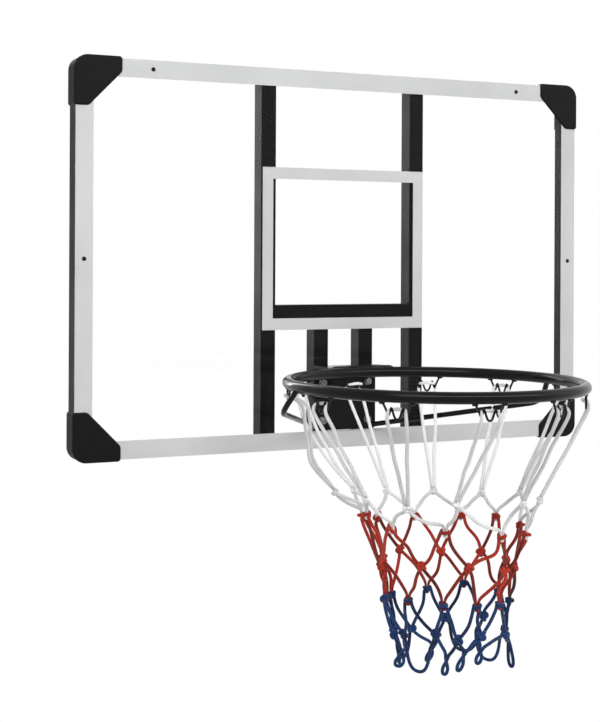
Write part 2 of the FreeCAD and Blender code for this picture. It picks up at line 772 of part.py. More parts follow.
def make_net():
    count = round(value("hook_count"))
    room = value("net_clearance")
    cord_half = value("cord_diameter") / 2

    def row(name, phase):
        drop, radius = value(f"{name}_drop"), value(f"{name}_radius")
        return [net_spot(drop, radius, i, phase) for i in range(count)]

    white = row("white_knot", 0)
    red_top = row("red_top", 0.5)
    red = row("red_knot", 0)
    blue_top = row("blue_top", 0.5)
    blue = row("blue_knot", 0)

    def lattice(upper, lower, step):
        """The two cords from each knot of a row to its neighbours in the row below."""
        return [cord(spot, lower[(i + side) % count]) for i, spot in enumerate(upper) for side in step]

    # One long loop from each hook to the white knot under it
    centre = ring_centre()
    hook_radius = (value("ring_outer") - value("bar_diameter")) / 2
    inward = value("hook_wire") / 2 + room + cord_half
    loop_z = centre.z - value("bar_diameter") / 2 - value("loop_top_drop")
    loops = []
    for i, spot in enumerate(white):
        turn = math.radians(around_ring(i))
        out = Vector(math.cos(turn), math.sin(turn), 0)
        across = Vector(-math.sin(turn), math.cos(turn), 0) * value("hook_notch_half")
        middle = Vector(centre.x, centre.y, loop_z) + out * (hook_radius - inward)
        ends = (middle - across, middle + across)
        legs = [cord(end, spot) for end in ends]
        loop = joined([cord(ends[0], ends[1], cord_half)] + legs)
        loops.append(loop.cut(knot(spot, room)))
    add_node("net_loops", Part.makeCompound(loops))

    mesh = joined([knot(spot) for spot in white] + lattice(white, red_top, (0, -1)))
    for spot in red_top:
        mesh = mesh.cut(knot(spot, room))
    add_node("net_white_mesh", mesh)

    cords = lattice(red_top, red, (0, 1)) + lattice(red, blue_top, (0, -1))
    mesh = joined([knot(spot) for spot in red_top + red] + cords)
    for spot in blue_top:
        mesh = mesh.cut(knot(spot, room))
    add_node("net_red_mesh", mesh)

    cords = lattice(blue_top, blue, (0, 1))
    hem_drop, hem_radius = value("hem_drop"), value("hem_radius")
    for i, spot in enumerate(blue):
        turns = [net_spot(hem_drop, hem_radius, i, share) for share in HEM_TURN_SHARES]
        cords.append(cord(spot, turns[0], cord_half))
        cords.append(cord(turns[0], turns[1], cord_half))
        cords.append(cord(turns[1], blue[(i + 1) % count], cord_half))
    add_node("net_blue_mesh", joined([knot(spot) for spot in blue_top + blue] + cords))


# Building, checking and writing
make_panel()
make_films()
make_frame()
make_caps()
make_screws()
make_ring()
make_bracket()
make_rim_fasteners()
make_bracket_nuts()
make_braces()
make_hooks()
make_net()
doc.recompute()

for item in doc.Objects:
    if {"Invalid", "Error"} & set(item.State):
        raise RuntimeError(f"{item.Label} failed: {item.State}")
for node in NODES:
    if node.Shape.isNull() or not node.Shape.isValid():
        raise RuntimeError(f"{node.Label} has no valid shape")

os.makedirs("parts", exist_ok=True)
for node in NODES:
    node.Shape.exportStep(f"parts/{node.Label}.step")
    print(node.Label, len(node.Shape.Solids), round(node.Shape.Volume, 1))
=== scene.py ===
"""Looks of a wall-hung basketball backboard: clear board, tube frame, rim, hooks and a knotted net.

Every size is in millimetres and every place is in the row frame; meshes are written in metres.
"""
import logging
import math
from dataclasses import dataclass, field
from enum import Enum
from typing import Any

import bpy
import numpy as np
from mathutils import Matrix, Vector


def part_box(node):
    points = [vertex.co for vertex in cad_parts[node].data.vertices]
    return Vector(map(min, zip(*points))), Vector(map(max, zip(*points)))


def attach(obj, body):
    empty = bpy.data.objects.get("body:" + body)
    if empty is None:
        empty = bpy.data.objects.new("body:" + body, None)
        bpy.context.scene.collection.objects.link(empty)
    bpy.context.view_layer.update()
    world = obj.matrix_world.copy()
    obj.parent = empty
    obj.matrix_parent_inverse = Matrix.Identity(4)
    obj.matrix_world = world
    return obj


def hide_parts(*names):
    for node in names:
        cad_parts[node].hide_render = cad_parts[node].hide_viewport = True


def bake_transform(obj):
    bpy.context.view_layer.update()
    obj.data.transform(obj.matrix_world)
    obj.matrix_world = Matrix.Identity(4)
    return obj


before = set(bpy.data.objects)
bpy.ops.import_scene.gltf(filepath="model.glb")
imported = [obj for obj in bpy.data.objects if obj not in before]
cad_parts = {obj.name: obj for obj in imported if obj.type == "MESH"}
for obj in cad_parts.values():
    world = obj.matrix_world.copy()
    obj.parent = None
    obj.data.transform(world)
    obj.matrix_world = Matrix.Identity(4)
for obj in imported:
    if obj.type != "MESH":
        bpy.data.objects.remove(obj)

Array = np.ndarray
Node = bpy.types.Node
Socket = bpy.types.NodeSocket

LOG = logging.getLogger("backboard")
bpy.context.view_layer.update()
MM = 0.001
IMAGE_WIDTH, IMAGE_HEIGHT = 600, 722
UP = np.array([0.0, 0.0, 1.0])
RIGHT = np.array([1.0, 0.0, 0.0])
# The Mix node's output for colours
MIXED_COLOUR = 2


class Body(Enum):
    """The two bodies that a piece can ride on."""

    BOARD = "board"
    NET = "net"


# Colours and nodes


def linear(colour: str) -> tuple[float, float, float, float]:
    """Turn an sRGB hex colour to linear red, green, blue and alpha.

    Args:
        colour: Hex digits such as "#C8321F".

    Returns:
        Four numbers for a colour socket.
    """
    shares = [int(colour[i:i + 2], 16) / 255 for i in (1, 3, 5)]
    red, green, blue = (s / 12.92 if s <= 0.04045 else ((s + 0.055) / 1.055) ** 2.4 for s in shares)
    return red, green, blue, 1.0


def per_metre(size: float) -> float:
    """The scale at which a texture's features are as large as a size in millimetres."""
    return 1 / (size * MM)


class Nodes:
    """The node tree of a new material or world, with short ways to fill it."""

    def __init__(self, owner: bpy.types.ID) -> None:
        """Start with an empty tree.

        Args:
            owner: The material or world.
        """
        owner.use_nodes = True
        self.tree = owner.node_tree
        self.tree.nodes.clear()

    def add(self, kind: str, settings: dict[str, str | bool] | None = None, **inputs: Any) -> Node:
        """Add one node with its settings and links.

        Args:
            kind: The node's type name after ShaderNode.
            settings: Properties of the node by name.
            inputs: What its sockets get, as in feed.

        Returns:
            The new node.
        """
        node = self.tree.nodes.new("ShaderNode" + kind)
        for name, amount in (settings or {}).items():
            setattr(node, name, amount)
        self.feed(node, **inputs)
        return node

    def feed(self, node: Node, **inputs: Any) -> None:
        """Link or set inputs of a node.

        Args:
            node: The node.
            inputs: What each socket gets, by its name with _ for a space or by its number as i0, i1. Another
                socket or a node's first output is linked to it, and anything else is set as its value.
        """
        for name, amount in inputs.items():
            numbered = name[0] == "i" and name[1:].isdigit()
            socket = node.inputs[int(name[1:]) if numbered else name.replace("_", " ")]
            if isinstance(amount, Node):
                amount = amount.outputs[0]
            if isinstance(amount, Socket):
                self.tree.links.new(amount, socket)
            else:
                socket.default_value = amount

    def compute(self, operation: str, *amounts: Any, clamp: bool = False) -> Node:
        """One step of arithmetic on nodes, sockets or numbers."""
        inputs = {f"i{number}": amount for number, amount in enumerate(amounts)}
        return self.add("Math", {"operation": operation, "use_clamp": clamp}, **inputs)

    def place(self) -> Socket:
        """Where a point of the piece lies, in metres."""
        return self.add("TexCoord").outputs["Object"]

    def noise(self, place: Any, size: float, detail: float) -> Node:
        """Noise whose features are as large as a size in millimetres."""
        return self.add("TexNoise", Vector=place, Scale=per_metre(size), Detail=detail)

    def tint(self, share: Any, first: str, second: str) -> Socket:
        """The colour that lies between two hex colours by a share."""
        mixed = self.add("Mix", {"data_type": "RGBA"}, i0=share, A=linear(first), B=linear(second))
        return mixed.outputs[MIXED_COLOUR]

    def spread(self, amount: Any, span: tuple[float, float], low: float = 0.0, high: float = 1.0) -> Node:
        """An amount drawn out evenly, so that its span runs from low to high."""
        return self.add("MapRange", Value=amount, From_Min=span[0], From_Max=span[1], To_Min=low, To_Max=high)

    def bump(self, height: Any, depth: float) -> Node:
        """A relief with a depth in millimetres."""
        return self.add("Bump", Height=height, Strength=1.0, Distance=depth * MM)

    def seen(self) -> Node:
        """The amount that is 1 for rays from the camera, a mirror or clear material, else 0.

        Returns:
            The node whose first output has the amount.
        """
        path = self.add("LightPath")
        indirect = self.compute("MAXIMUM", path.outputs["Is Glossy Ray"], path.outputs["Is Transmission Ray"])
        return self.compute("MAXIMUM", path.outputs["Is Camera Ray"], indirect)


# Finishes


@dataclass(frozen=True)
class Finish:
    """What every finish has: its name, the record's slot, its colour and its gloss."""

    name: str
    slot: str
    colour: str
    roughness: float
    specular: float = 0.5

    def material(self) -> bpy.types.Material:
        """The finish as a node material, made at its first use.

        Returns:
            The material, shared by every piece that has this finish.
        """
        made = bpy.data.materials.get(self.name)
        if made is None:
            made = bpy.data.materials.new(self.name)
            nodes = Nodes(made)
            shader = nodes.add(
                "BsdfPrincipled", Base_Color=linear(self.colour), Roughness=self.roughness,
                Specular_IOR_Level=self.specular)
            nodes.feed(shader, **self.pattern(nodes))
            nodes.add("OutputMaterial", Surface=self.surface(nodes, shader))
        return made

    def pattern(self, nodes: Nodes) -> dict[str, Any]:
        """What the shader's inputs get, by name; each kind of finish has its own."""
        raise NotImplementedError

    def surface(self, nodes: Nodes, shader: Node) -> Node:
        """What light meets: the shader alone, unless a finish adds to it."""
        return shader


@dataclass(frozen=True)
class Coat(Finish):
    """Paint or moulded skin: a dimpled surface with broad patches that are paler and less glossy.

    Dimples far under a millimetre don't show at this size, so dimple is drawn as coarse as it has to be.
    """

    pale: str = "#333333"
    dimple: float = 2.0
    depth: float = 0.05
    mottle: float = 70.0
    mottle_span: tuple[float, float] = (0.3, 0.7)
    glossier: float = 0.05
    duller: float = 0.07

    def pattern(self, nodes: Nodes) -> dict[str, Any]:
        """Dimples from fine noise, gloss and colour from broad noise.

        Args:
            nodes: The material's nodes.

        Returns:
            What the shader's inputs get, by name.
        """
        place = nodes.place()
        broad = nodes.noise(place, self.mottle, detail=4.0)
        fine = nodes.noise(place, self.dimple, detail=2.0)
        smooth, rough = self.roughness - self.glossier, self.roughness + self.duller
        return {
            "Base_Color": nodes.tint(broad, self.colour, self.pale),
            "Roughness": nodes.spread(broad, self.mottle_span, smooth, rough),
            "Normal": nodes.bump(fine, self.depth)}


@dataclass(frozen=True)
class Film(Finish):
    """Printed vinyl film: satin, with faint drawn streaks and a soft change of tone along its length."""

    shade: str = "#C5C6C6"
    streak: float = 1.6
    streak_depth: float = 0.002
    streak_squeeze: float = 0.03
    streak_share: float = 0.08
    cloud: float = 160.0
    cloud_span: tuple[float, float] = (0.35, 0.65)

    def pattern(self, nodes: Nodes) -> dict[str, Any]:
        """Tone from broad noise, streaks from noise stretched along the board's width.

        Args:
            nodes: The material's nodes.

        Returns:
            What the shader's inputs get, by name.
        """
        place = nodes.place()
        broad = nodes.noise(place, self.cloud, detail=3.0)
        drawn = nodes.add("Mapping", Vector=place, Scale=(self.streak_squeeze, 1.0, 1.0))
        streaks = nodes.noise(drawn, self.streak, detail=2.0)
        both = nodes.add("Mix", {"data_type": "FLOAT"}, i0=self.streak_share, A=broad, B=streaks)
        return {
            "Base_Color": nodes.tint(nodes.spread(both, self.cloud_span), self.shade, self.colour),
            "Normal": nodes.bump(streaks, self.streak_depth)}


@dataclass(frozen=True)
class ClearSheet(Finish):
    """Extruded polycarbonate: clear, with a faint unevenness in its gloss from handling and cleaning.

    The real sheet bends light by 1.58; the index is lowered so that it mirrors no more of the room than a
    coated one.
    """

    ior: float = 1.16
    smear: float = 45.0
    smear_span: tuple[float, float] = (0.45, 0.8)

    def pattern(self, nodes: Nodes) -> dict[str, Any]:
        """Light goes through, and broad noise dulls the polish.

        Args:
            nodes: The material's nodes.

        Returns:
            What the shader's inputs get, by name.
        """
        broad = nodes.noise(nodes.place(), self.smear, detail=5.0)
        polish = nodes.spread(broad, self.smear_span, high=self.roughness)
        return {"IOR": self.ior, "Transmission_Weight": 1.0, "Roughness": polish}

    def surface(self, nodes: Nodes, shader: Node) -> Node:
        """The sheet, open to the rays from the lamps to what lies behind it.

        Args:
            nodes: The material's nodes.
            shader: Its shader.

        Returns:
            The shader mixed with plain transparency.
        """
        shadow = nodes.add("LightPath").outputs["Is Shadow Ray"]
        return nodes.add("MixShader", i0=shadow, i1=shader, i2=nodes.add("BsdfTransparent"))


@dataclass(frozen=True)
class Plating(Finish):
    """Bright plated steel: a metal whose crystals give small patches of tone and gloss."""

    shade: str = "#2E3133"
    crystal: float = 0.8
    uneven: float = 0.08

    def pattern(self, nodes: Nodes) -> dict[str, Any]:
        """Patches from a cell pattern, drawn coarser than the real crystals so that they show.

        Args:
            nodes: The material's nodes.

        Returns:
            What the shader's inputs get, by name.
        """
        scale = per_metre(self.crystal)
        cells = nodes.add("TexVoronoi", {"feature": "F1"}, Vector=nodes.place(), Scale=scale)
        patch = nodes.add("SeparateColor", Color=cells.outputs["Color"])
        smooth, rough = self.roughness - self.uneven, self.roughness + self.uneven
        return {
            "Metallic": 1.0, "Base_Color": nodes.tint(patch, self.shade, self.colour),
            "Roughness": nodes.spread(patch, (0.0, 1.0), smooth, rough)}


@dataclass(frozen=True)
class BraidedCord(Finish):
    """Braided polyester: yarns of two helices that cross, with painted shade in the grooves and on whole
    cords.

    The piece's UV map gives the length along the cord in millimetres and the turn round it from 0 to 1; its
    tone is 1 where a cord is fully lit and 0 where it has the most painted shade. A real braid of this size
    has about sixteen yarns; fewer and coarser ones are drawn so that they show.
    """

    # Painted shade: the colour that the grooves and shaded cords are painted with.
    shade_colour: str = "#808080"
    yarns: int = 4
    pick: float = 7.0
    depth: float = 0.25
    groove_span: tuple[float, float] = (-0.6, 0.7)
    groove_share: float = 0.6
    fuzz: float = 9.0
    wear: float = 0.5
    sheen: float = 0.2
    sheen_roughness: float = 0.5

    def pattern(self, nodes: Nodes) -> dict[str, Any]:
        """Height is the larger of two sine waves that wind round the cord in opposite directions.

        Args:
            nodes: The material's nodes.

        Returns:
            What the shader's inputs get, by name.
        """
        spot = nodes.add("SeparateXYZ", Vector=nodes.add("UVMap", {"uv_map": "UVMap"}))
        waves = []
        for hand in (1, -1):
            wound = nodes.compute("MULTIPLY", spot.outputs["Y"], hand * 2 * math.pi * self.yarns)
            phase = nodes.compute("MULTIPLY_ADD", spot.outputs["X"], 2 * math.pi / self.pick, wound)
            waves.append(nodes.compute("SINE", phase))
        height = nodes.compute("MAXIMUM", *waves)
        # Painted shade: the low parts of the braid, its grooves, lean to the shade colour.
        raised = nodes.spread(height, self.groove_span, low=self.groove_share)
        # Painted shade on whole cords, from the tone that each piece gives its cords.
        lit_share = nodes.add("Attribute", {"attribute_name": "tone"}).outputs["Fac"]
        fibre = nodes.noise(nodes.place(), self.fuzz, detail=5.0)
        worn = nodes.compute("MULTIPLY_ADD", fibre, self.wear, -self.wear / 2)
        share = nodes.compute("ADD", nodes.compute("MULTIPLY", lit_share, raised), worn, clamp=True)
        return {
            "Sheen_Weight": self.sheen, "Sheen_Roughness": self.sheen_roughness,
            "Base_Color": nodes.tint(share, self.shade_colour, self.colour),
            "Normal": nodes.bump(height, self.depth)}


CLEAR_PANEL = ClearSheet("extruded clear polycarbonate", "clear_polycarbonate", "#FFFFFF", 0.05, 0.01)
WHITE_FILM = Film("printed white vinyl film", "white_film", "#D0D1D1", 0.5, 0.2)
FRAME_COAT = Coat("black powder coat", "black_powder_coat", "#161616", 0.5, 0.1, "#1E1E1E", 2.5, 0.03)
RIM_ENAMEL = Coat("stoved black enamel", "black_enamel", "#030303", 0.18, 0.16, "#070606", 5.0, 0.01, 40.0)
CAP_SKIN = Coat(
    "moulded black polypropylene", "black_moulding", "#0C0C0C", 0.55, 0.1, "#141313", 1.4, 0.09, 25.0)
SCREW_COAT = Coat("black oxide on steel", "black_screw", "#070707", 0.4, 0.2, "#121212", 0.8, 0.02, 6.0)
BRIGHT_ZINC = Plating("bright zinc plate", "zinc_plate", "#A3A4A4", 0.22)
# The last colour of each cord is the painted shade of its grooves and of shaded cords.
WHITE_CORD = BraidedCord("braided white polyester cord", "white_cord", "#FDFDFC", 0.75, 0.2, "#D2D3D3")
RED_CORD = BraidedCord("braided red polyester cord", "red_cord", "#CE3A24", 0.75, 0.15, "#3C0805")
BLUE_CORD = BraidedCord("braided blue polyester cord", "blue_cord", "#18427F", 0.75, 0.15, "#040E21")


# Surfaces


@dataclass
class Patch:
    """A mesh in the making, in millimetres: points, four-sided faces with UVs, end faces and tones."""

    points: Array
    quads: Array
    quad_uv: Array
    caps: list[list[int]]
    tone: Array


def joined(patches: list[Patch]) -> Patch:
    """One patch of several.

    Args:
        patches: Patches that each count their points from 0.

    Returns:
        A patch with all of their points and faces.
    """
    starts = np.cumsum([0] + [len(patch.points) for patch in patches[:-1]])
    return Patch(
        np.concatenate([patch.points for patch in patches]),
        np.concatenate([patch.quads + start for patch, start in zip(patches, starts)]),
        np.concatenate([patch.quad_uv for patch in patches]),
        [[corner + int(start) for corner in cap]
         for patch, start in zip(patches, starts) for cap in patch.caps],
        np.concatenate([patch.tone for patch in patches]))


def around(count: int) -> Array:
    """Angles evenly spaced round a circle, from 0."""
    return np.linspace(0, 2 * math.pi, count, endpoint=False)


def loft(rings: Array, lengths: Array | None = None) -> Patch:
    """Skin stacks of rings: quad (i, j) joins points j and j + 1 of rings i and i + 1, and both ends close.

    Each ring runs anticlockwise seen from the stack's end, so that faces point outwards.

    Args:
        rings: Points by stack, ring, place on the ring and axis.
        lengths: Distance along each stack of each of its rings, for the UV map, or None to number them.

    Returns:
        The skin of every stack as one patch.
    """
    stacks, count, sides, _ = rings.shape
    if lengths is None:
        lengths = np.broadcast_to(np.arange(1.0, count + 1), (stacks, count))
    s, i, j = np.meshgrid(np.arange(stacks), np.arange(count - 1), np.arange(sides), indexing="ij")
    after, beside = i + 1, (j + 1) % sides
    corners = [(i, j), (i, beside), (after, beside), (after, j)]
    quads = np.stack([(s * count + row) * sides + column for row, column in corners], axis=-1).reshape(-1, 4)
    near, far = lengths[s, i], lengths[s, after]
    low, high = j / sides, (j + 1) / sides
    pairs = ((near, low), (near, high), (far, high), (far, low))
    uv = np.stack([np.stack(pair, axis=-1) for pair in pairs], axis=-2)
    caps = []
    base = np.arange(sides)
    for stack in range(stacks):
        caps.append((base[::-1] + stack * count * sides).tolist())
        caps.append((base + ((stack + 1) * count - 1) * sides).tolist())
    return Patch(rings.reshape(-1, 3), quads, uv.reshape(-1, 4, 2), caps, np.ones(rings.size // 3))


def turned(seat: Array, reach: Array, height: Array, turn: Array) -> Patch:
    """A form about an axis along Y: points at a reach and a turn from it, at a height in front of its seat.

    Args:
        seat: Middle of the form's foot.
        reach: Distances from the axis, by ring and turn.
        height: Heights, by ring and turn.
        turn: Angles round the axis.

    Returns:
        The form, from its middle out and down to its foot.
    """
    across, up = reach * np.cos(turn), reach * np.sin(turn)
    rings = np.broadcast_arrays(seat[0] + across, seat[1] - height, seat[2] + up)
    return loft(np.stack(rings, axis=-1)[None])


def unit(vectors: Array) -> Array:
    """The vectors made one long."""
    return vectors / np.linalg.norm(vectors, axis=-1, keepdims=True)


def spline(controls: Array, samples: int) -> Array:
    """Smooth curves of clamped cubic splines: each sample is a weighted sum of four neighbouring controls.

    Args:
        controls: Control values by curve and number; any count of values each.
        samples: How many samples each curve gets, ends included.

    Returns:
        Values by curve and sample.
    """
    count, degree = controls.shape[1], 3
    knots = np.concatenate([np.zeros(degree), np.linspace(0, 1, count - degree + 1), np.ones(degree)])
    at = np.linspace(0, 1, samples)[:, None]
    weights = ((knots[:-1] <= at) & (at < knots[1:])).astype(float)
    weights[-1, count - 1] = 1.0
    for order in range(1, degree + 1):
        rise = knots[order:-1] - knots[:-order - 1]
        fall = knots[order + 1:] - knots[1:-order]
        left = np.divide(at - knots[:-order - 1], rise, out=np.zeros((samples, len(rise))), where=rise > 0)
        right = np.divide(knots[order + 1:] - at, fall, out=np.zeros((samples, len(fall))), where=fall > 0)
        weights = left * weights[:, :-1] + right * weights[:, 1:]
    return np.einsum("sk,ckv->csv", weights, controls)


def carried_normals(tangents: Array) -> Array:
    """Normals that turn as little as they can: each is the last one, flattened on the next ring's plane.

    Args:
        tangents: Unit tangents by path and station.

    Returns:
        Unit normals by path and station.
    """
    normals = np.empty_like(tangents)
    first = tangents[:, 0]
    axis = np.eye(3)[np.argmin(np.abs(first), axis=1)]
    normal = unit(np.cross(first, axis))
    for station in range(tangents.shape[1]):
        along = tangents[:, station]
        normal = unit(normal - along * np.sum(normal * along, axis=1, keepdims=True))
        normals[:, station] = normal
    return normals


def tubes(paths: Array, sides: int) -> Patch:
    """Round tubes: each ring is its station plus radius times (cosine times normal plus sine times binormal).

    Args:
        paths: x, y, z, radius and tone by path and station.
        sides: Points round each ring.

    Returns:
        All tubes as one patch, with closed ends.
    """
    places, radii, tone = paths[..., :3], paths[..., 3], paths[..., 4]
    steps = np.linalg.norm(np.diff(places, axis=1), axis=2)
    lengths = np.concatenate([np.zeros((len(paths), 1)), np.cumsum(steps, axis=1)], axis=1)
    tangents = unit(np.gradient(places, axis=1))
    normals = carried_normals(tangents)
    binormals = np.cross(tangents, normals)
    turn = around(sides)[:, None]
    spokes = np.cos(turn) * normals[:, :, None] + np.sin(turn) * binormals[:, :, None]
    patch = loft(places[:, :, None] + radii[:, :, None, None] * spokes, lengths)
    patch.tone = np.repeat(tone.ravel(), sides)
    return patch


def laid(points: Array, radius: float | Array, tone: float | Array = 1.0) -> Array:
    """The points with a radius and a tone as their fourth and fifth values."""
    extras = [np.broadcast_to(extra, points.shape[:-1])[..., None] for extra in (radius, tone)]
    return np.concatenate([points, *extras], axis=-1)


def placed(name: str, data: bpy.types.ID) -> bpy.types.Object:
    """Put a new object in the scene.

    Args:
        name: The object's name.
        data: Its mesh, lamp or camera.

    Returns:
        The object, at the origin.
    """
    made = bpy.data.objects.new(name, data)
    bpy.context.scene.collection.objects.link(made)
    return made


def add_piece(name: str, patch: Patch, finish: Finish, body: Body | None, *nodes: str) -> bpy.types.Object:
    """Write a patch as a smooth mesh object, dress it and set what it stands for.

    Args:
        name: The piece's name.
        patch: Its surface, in millimetres.
        finish: Its finish.
        body: The body that it rides on, or None where it bends between the two.
        nodes: CAD nodes that it replaces.

    Returns:
        The new object, at the origin.
    """
    mesh = bpy.data.meshes.new(name)
    mesh.from_pydata((patch.points * MM).tolist(), [], patch.quads.tolist() + patch.caps)
    mesh.polygons.foreach_set("use_smooth", np.ones(len(mesh.polygons), bool))
    uv = np.zeros((len(mesh.loops), 2), np.float32)
    uv[:len(patch.quads) * 4] = patch.quad_uv.reshape(-1, 2)
    mesh.uv_layers.new(name="UVMap").data.foreach_set("uv", uv.ravel())
    mesh.attributes.new("tone", "FLOAT", "POINT").data.foreach_set("value", patch.tone.astype(np.float32))
    mesh.materials.append(finish.material())
    piece = placed(name, mesh)
    if body is not None:
        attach(piece, body.value)
    if nodes:
        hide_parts(*nodes)
    LOG.info("%s: %d faces, %s", name, len(mesh.polygons), finish.name)
    return piece


def dress(finish: Finish, *nodes: str) -> None:
    """Give CAD nodes that stay in view a finish.

    Args:
        finish: The finish for all of them.
        nodes: Their names.
    """
    for name in nodes:
        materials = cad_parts[name].data.materials
        materials.clear()
        materials.append(finish.material())
        LOG.info("%s: CAD node, %s", name, finish.name)


def cad_box(node: str) -> tuple[Array, Array]:
    """The lowest and highest corner of a CAD node, in millimetres."""
    low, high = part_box(node)
    return np.array(low) / MM, np.array(high) / MM


def cad_points(node: str) -> Array:
    """Read the corners of a CAD node's mesh.

    Args:
        node: The node's name.

    Returns:
        Places in millimetres, by corner.
    """
    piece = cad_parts[node]
    flat = np.empty(len(piece.data.vertices) * 3, np.float32)
    piece.data.vertices.foreach_get("co", flat)
    stance = np.array(piece.matrix_world)
    return (flat.reshape(-1, 3) @ stance[:3, :3].T + stance[:3, 3]) / MM


# The board

# A screw head from near its middle to its underside: shares of its radius
SCREW_SHARES = np.concatenate([np.linspace(0.15, 0.98, 14), [1.0, 1.0]])[:, None]


@dataclass
class Board:
    """Clear panel with its films, the moulded corners and the screws that hold the panel."""

    screw_radius: float = 3.25
    screw_height: float = 2.0
    screw_sides: int = 48
    dome_fall: float = 0.72
    dome_power: float = 2.4
    recess_reach: float = 1.9
    recess_width: float = 0.45
    recess_depth: float = 1.0
    recess_wall: float = 0.2
    recess_end: float = 0.25

    def build(self) -> None:
        """Make the four cross-recessed screw heads."""
        face = cad_box("border_band")[0][1]
        points = cad_points("panel_screws")
        upper = points[points[:, 2] > points[:, 2].max() - 2 * self.screw_radius]
        across, top = upper[:, 0].max() - self.screw_radius, upper[:, 2].max() - self.screw_radius
        side = points[:, 0].max() - self.screw_radius
        spots = [(-across, top), (across, top), (-side, 0.0), (side, 0.0)]
        heads = [self.screw_head(np.array([x, face, z])) for x, z in spots]
        add_piece("screw_heads", joined(heads), SCREW_COAT, Body.BOARD, "panel_screws")

    def screw_head(self, seat: Array) -> Patch:
        """A domed head: height falls with a power of the radius, and drops inside a cross near the middle.

        Args:
            seat: Middle of the head's underside.

        Returns:
            The head from its middle out to its rim and down to the surface.
        """
        reach = SCREW_SHARES * self.screw_radius
        turn = around(self.screw_sides)[None, :]
        across, up = reach * np.cos(turn), reach * np.sin(turn)
        slot = np.minimum(np.abs(across), np.abs(up)) - self.recess_width
        sunk = np.clip(0.5 - slot / self.recess_wall, 0, 1)
        cross = sunk * np.clip((self.recess_reach - reach) / self.recess_end, 0, 1)
        dome = self.screw_height * (1 - self.dome_fall * (reach / self.screw_radius) ** self.dome_power)
        rise = dome - self.recess_depth * cross
        rise[-1] = 0.0
        return turned(seat, reach, rise, turn)

    def dress(self) -> None:
        """Give the panel, films and corner caps their finishes."""
        dress(CLEAR_PANEL, "panel")
        dress(WHITE_FILM, "border_band", "target_band")
        ends = [f"{height}_{side}" for height in ("upper", "lower") for side in ("left", "right")]
        dress(CAP_SKIN, *[f"corner_cap_{end}" for end in ends])


# The tube frame


BEAD_SIDES = 8


@dataclass(frozen=True)
class Bead:
    """A weld bead: its radius, the length of one ripple, and the shares of its radius along it.

    A ripple rises from the valley's share by the swell. Both ends have the tip's share, and it grows from
    there by the slope times the share of the bead's length, up to the whole.
    """

    radius: float
    ripple: float
    valley: float = 0.88
    swell: float = 0.24
    tip: float = 0.35
    slope: float = 14.0


@dataclass
class TubeFrame:
    """Welded square tubes behind the panel, with the weld beads at their joints."""

    bead: Bead = Bead(1.7, 4.0)
    inset: float = 2.0
    stations: int = 40
    inner: tuple[str, ...] = (
        "left_upright", "right_upright", "left_hoop_post", "right_hoop_post", "cross_bar")

    def build(self) -> None:
        """Lay a bead down both sides of each end of the inner tubes."""
        lines = []
        for tube in self.inner:
            low, high = cad_box(tube)
            for level in (low[2], high[2]):
                for x in (low[0], high[0]):
                    lines.append(((x, low[1] + self.inset, level), (x, high[1] - self.inset, level)))
        ends = np.array(lines, float)
        share = np.linspace(0, 1, self.stations)[None, :, None]
        places = ends[:, :1] * (1 - share) + ends[:, 1:] * share
        length = np.linalg.norm(ends[:, 1] - ends[:, 0], axis=1)[:, None]
        add_piece("frame_welds", rippled(places, self.bead, length), FRAME_COAT, Body.BOARD)

    def dress(self) -> None:
        """Powder coat on every tube, zinc on the nuts inside them."""
        edges = [f"{side}_tube" for side in ("top", "bottom", "left", "right")]
        dress(FRAME_COAT, *edges, *self.inner)
        dress(BRIGHT_ZINC, "rim_weld_nuts", "bracket_weld_nuts")


def rippled(places: Array, bead: Bead, length: float | Array) -> Patch:
    """Weld beads: tubes whose radius swells with the absolute sine of the length and tapers at both ends.

    Args:
        places: Points by bead and station.
        bead: Their size.
        length: Length of each bead.

    Returns:
        All beads as one patch.
    """
    share = np.linspace(0, 1, places.shape[1])[None, :]
    swell = bead.valley + bead.swell * np.abs(np.sin(math.pi * share * length / bead.ripple))
    taper = np.clip(np.minimum(share, 1 - share) * bead.slope + bead.tip, 0, 1)
    return tubes(laid(places, bead.radius * swell * taper), BEAD_SIDES)


# The rim

# Half of a hook's wire, from a foot to the belly: distance from the hook's middle and drop below the bar
HOOK_HALF = [
    (22.0, 0.4), (19.5, 0.6), (18.2, 2.0), (15.2, 8.0), (12.8, 14.2), (11.6, 17.0), (10.3, 14.0), (8.6, 8.6),
    (7.9, 5.6), (6.6, 9.4), (4.6, 15.6), (2.6, 21.4)]
# A washer from its bore to its back: shares of its radius and of its thickness
WASHER_PROFILE = np.array([(0.5, 0.0), (0.93, 0.0), (0.98, 0.12), (1.0, 0.4), (1.0, 1.0)])
# A bolt head from its middle to its underside: shares of its reach
HEAD_SHARES = np.array([0.1, 0.5, 0.8, 0.9, 0.94, 0.97, 1.0, 1.0, 1.0])[:, None]


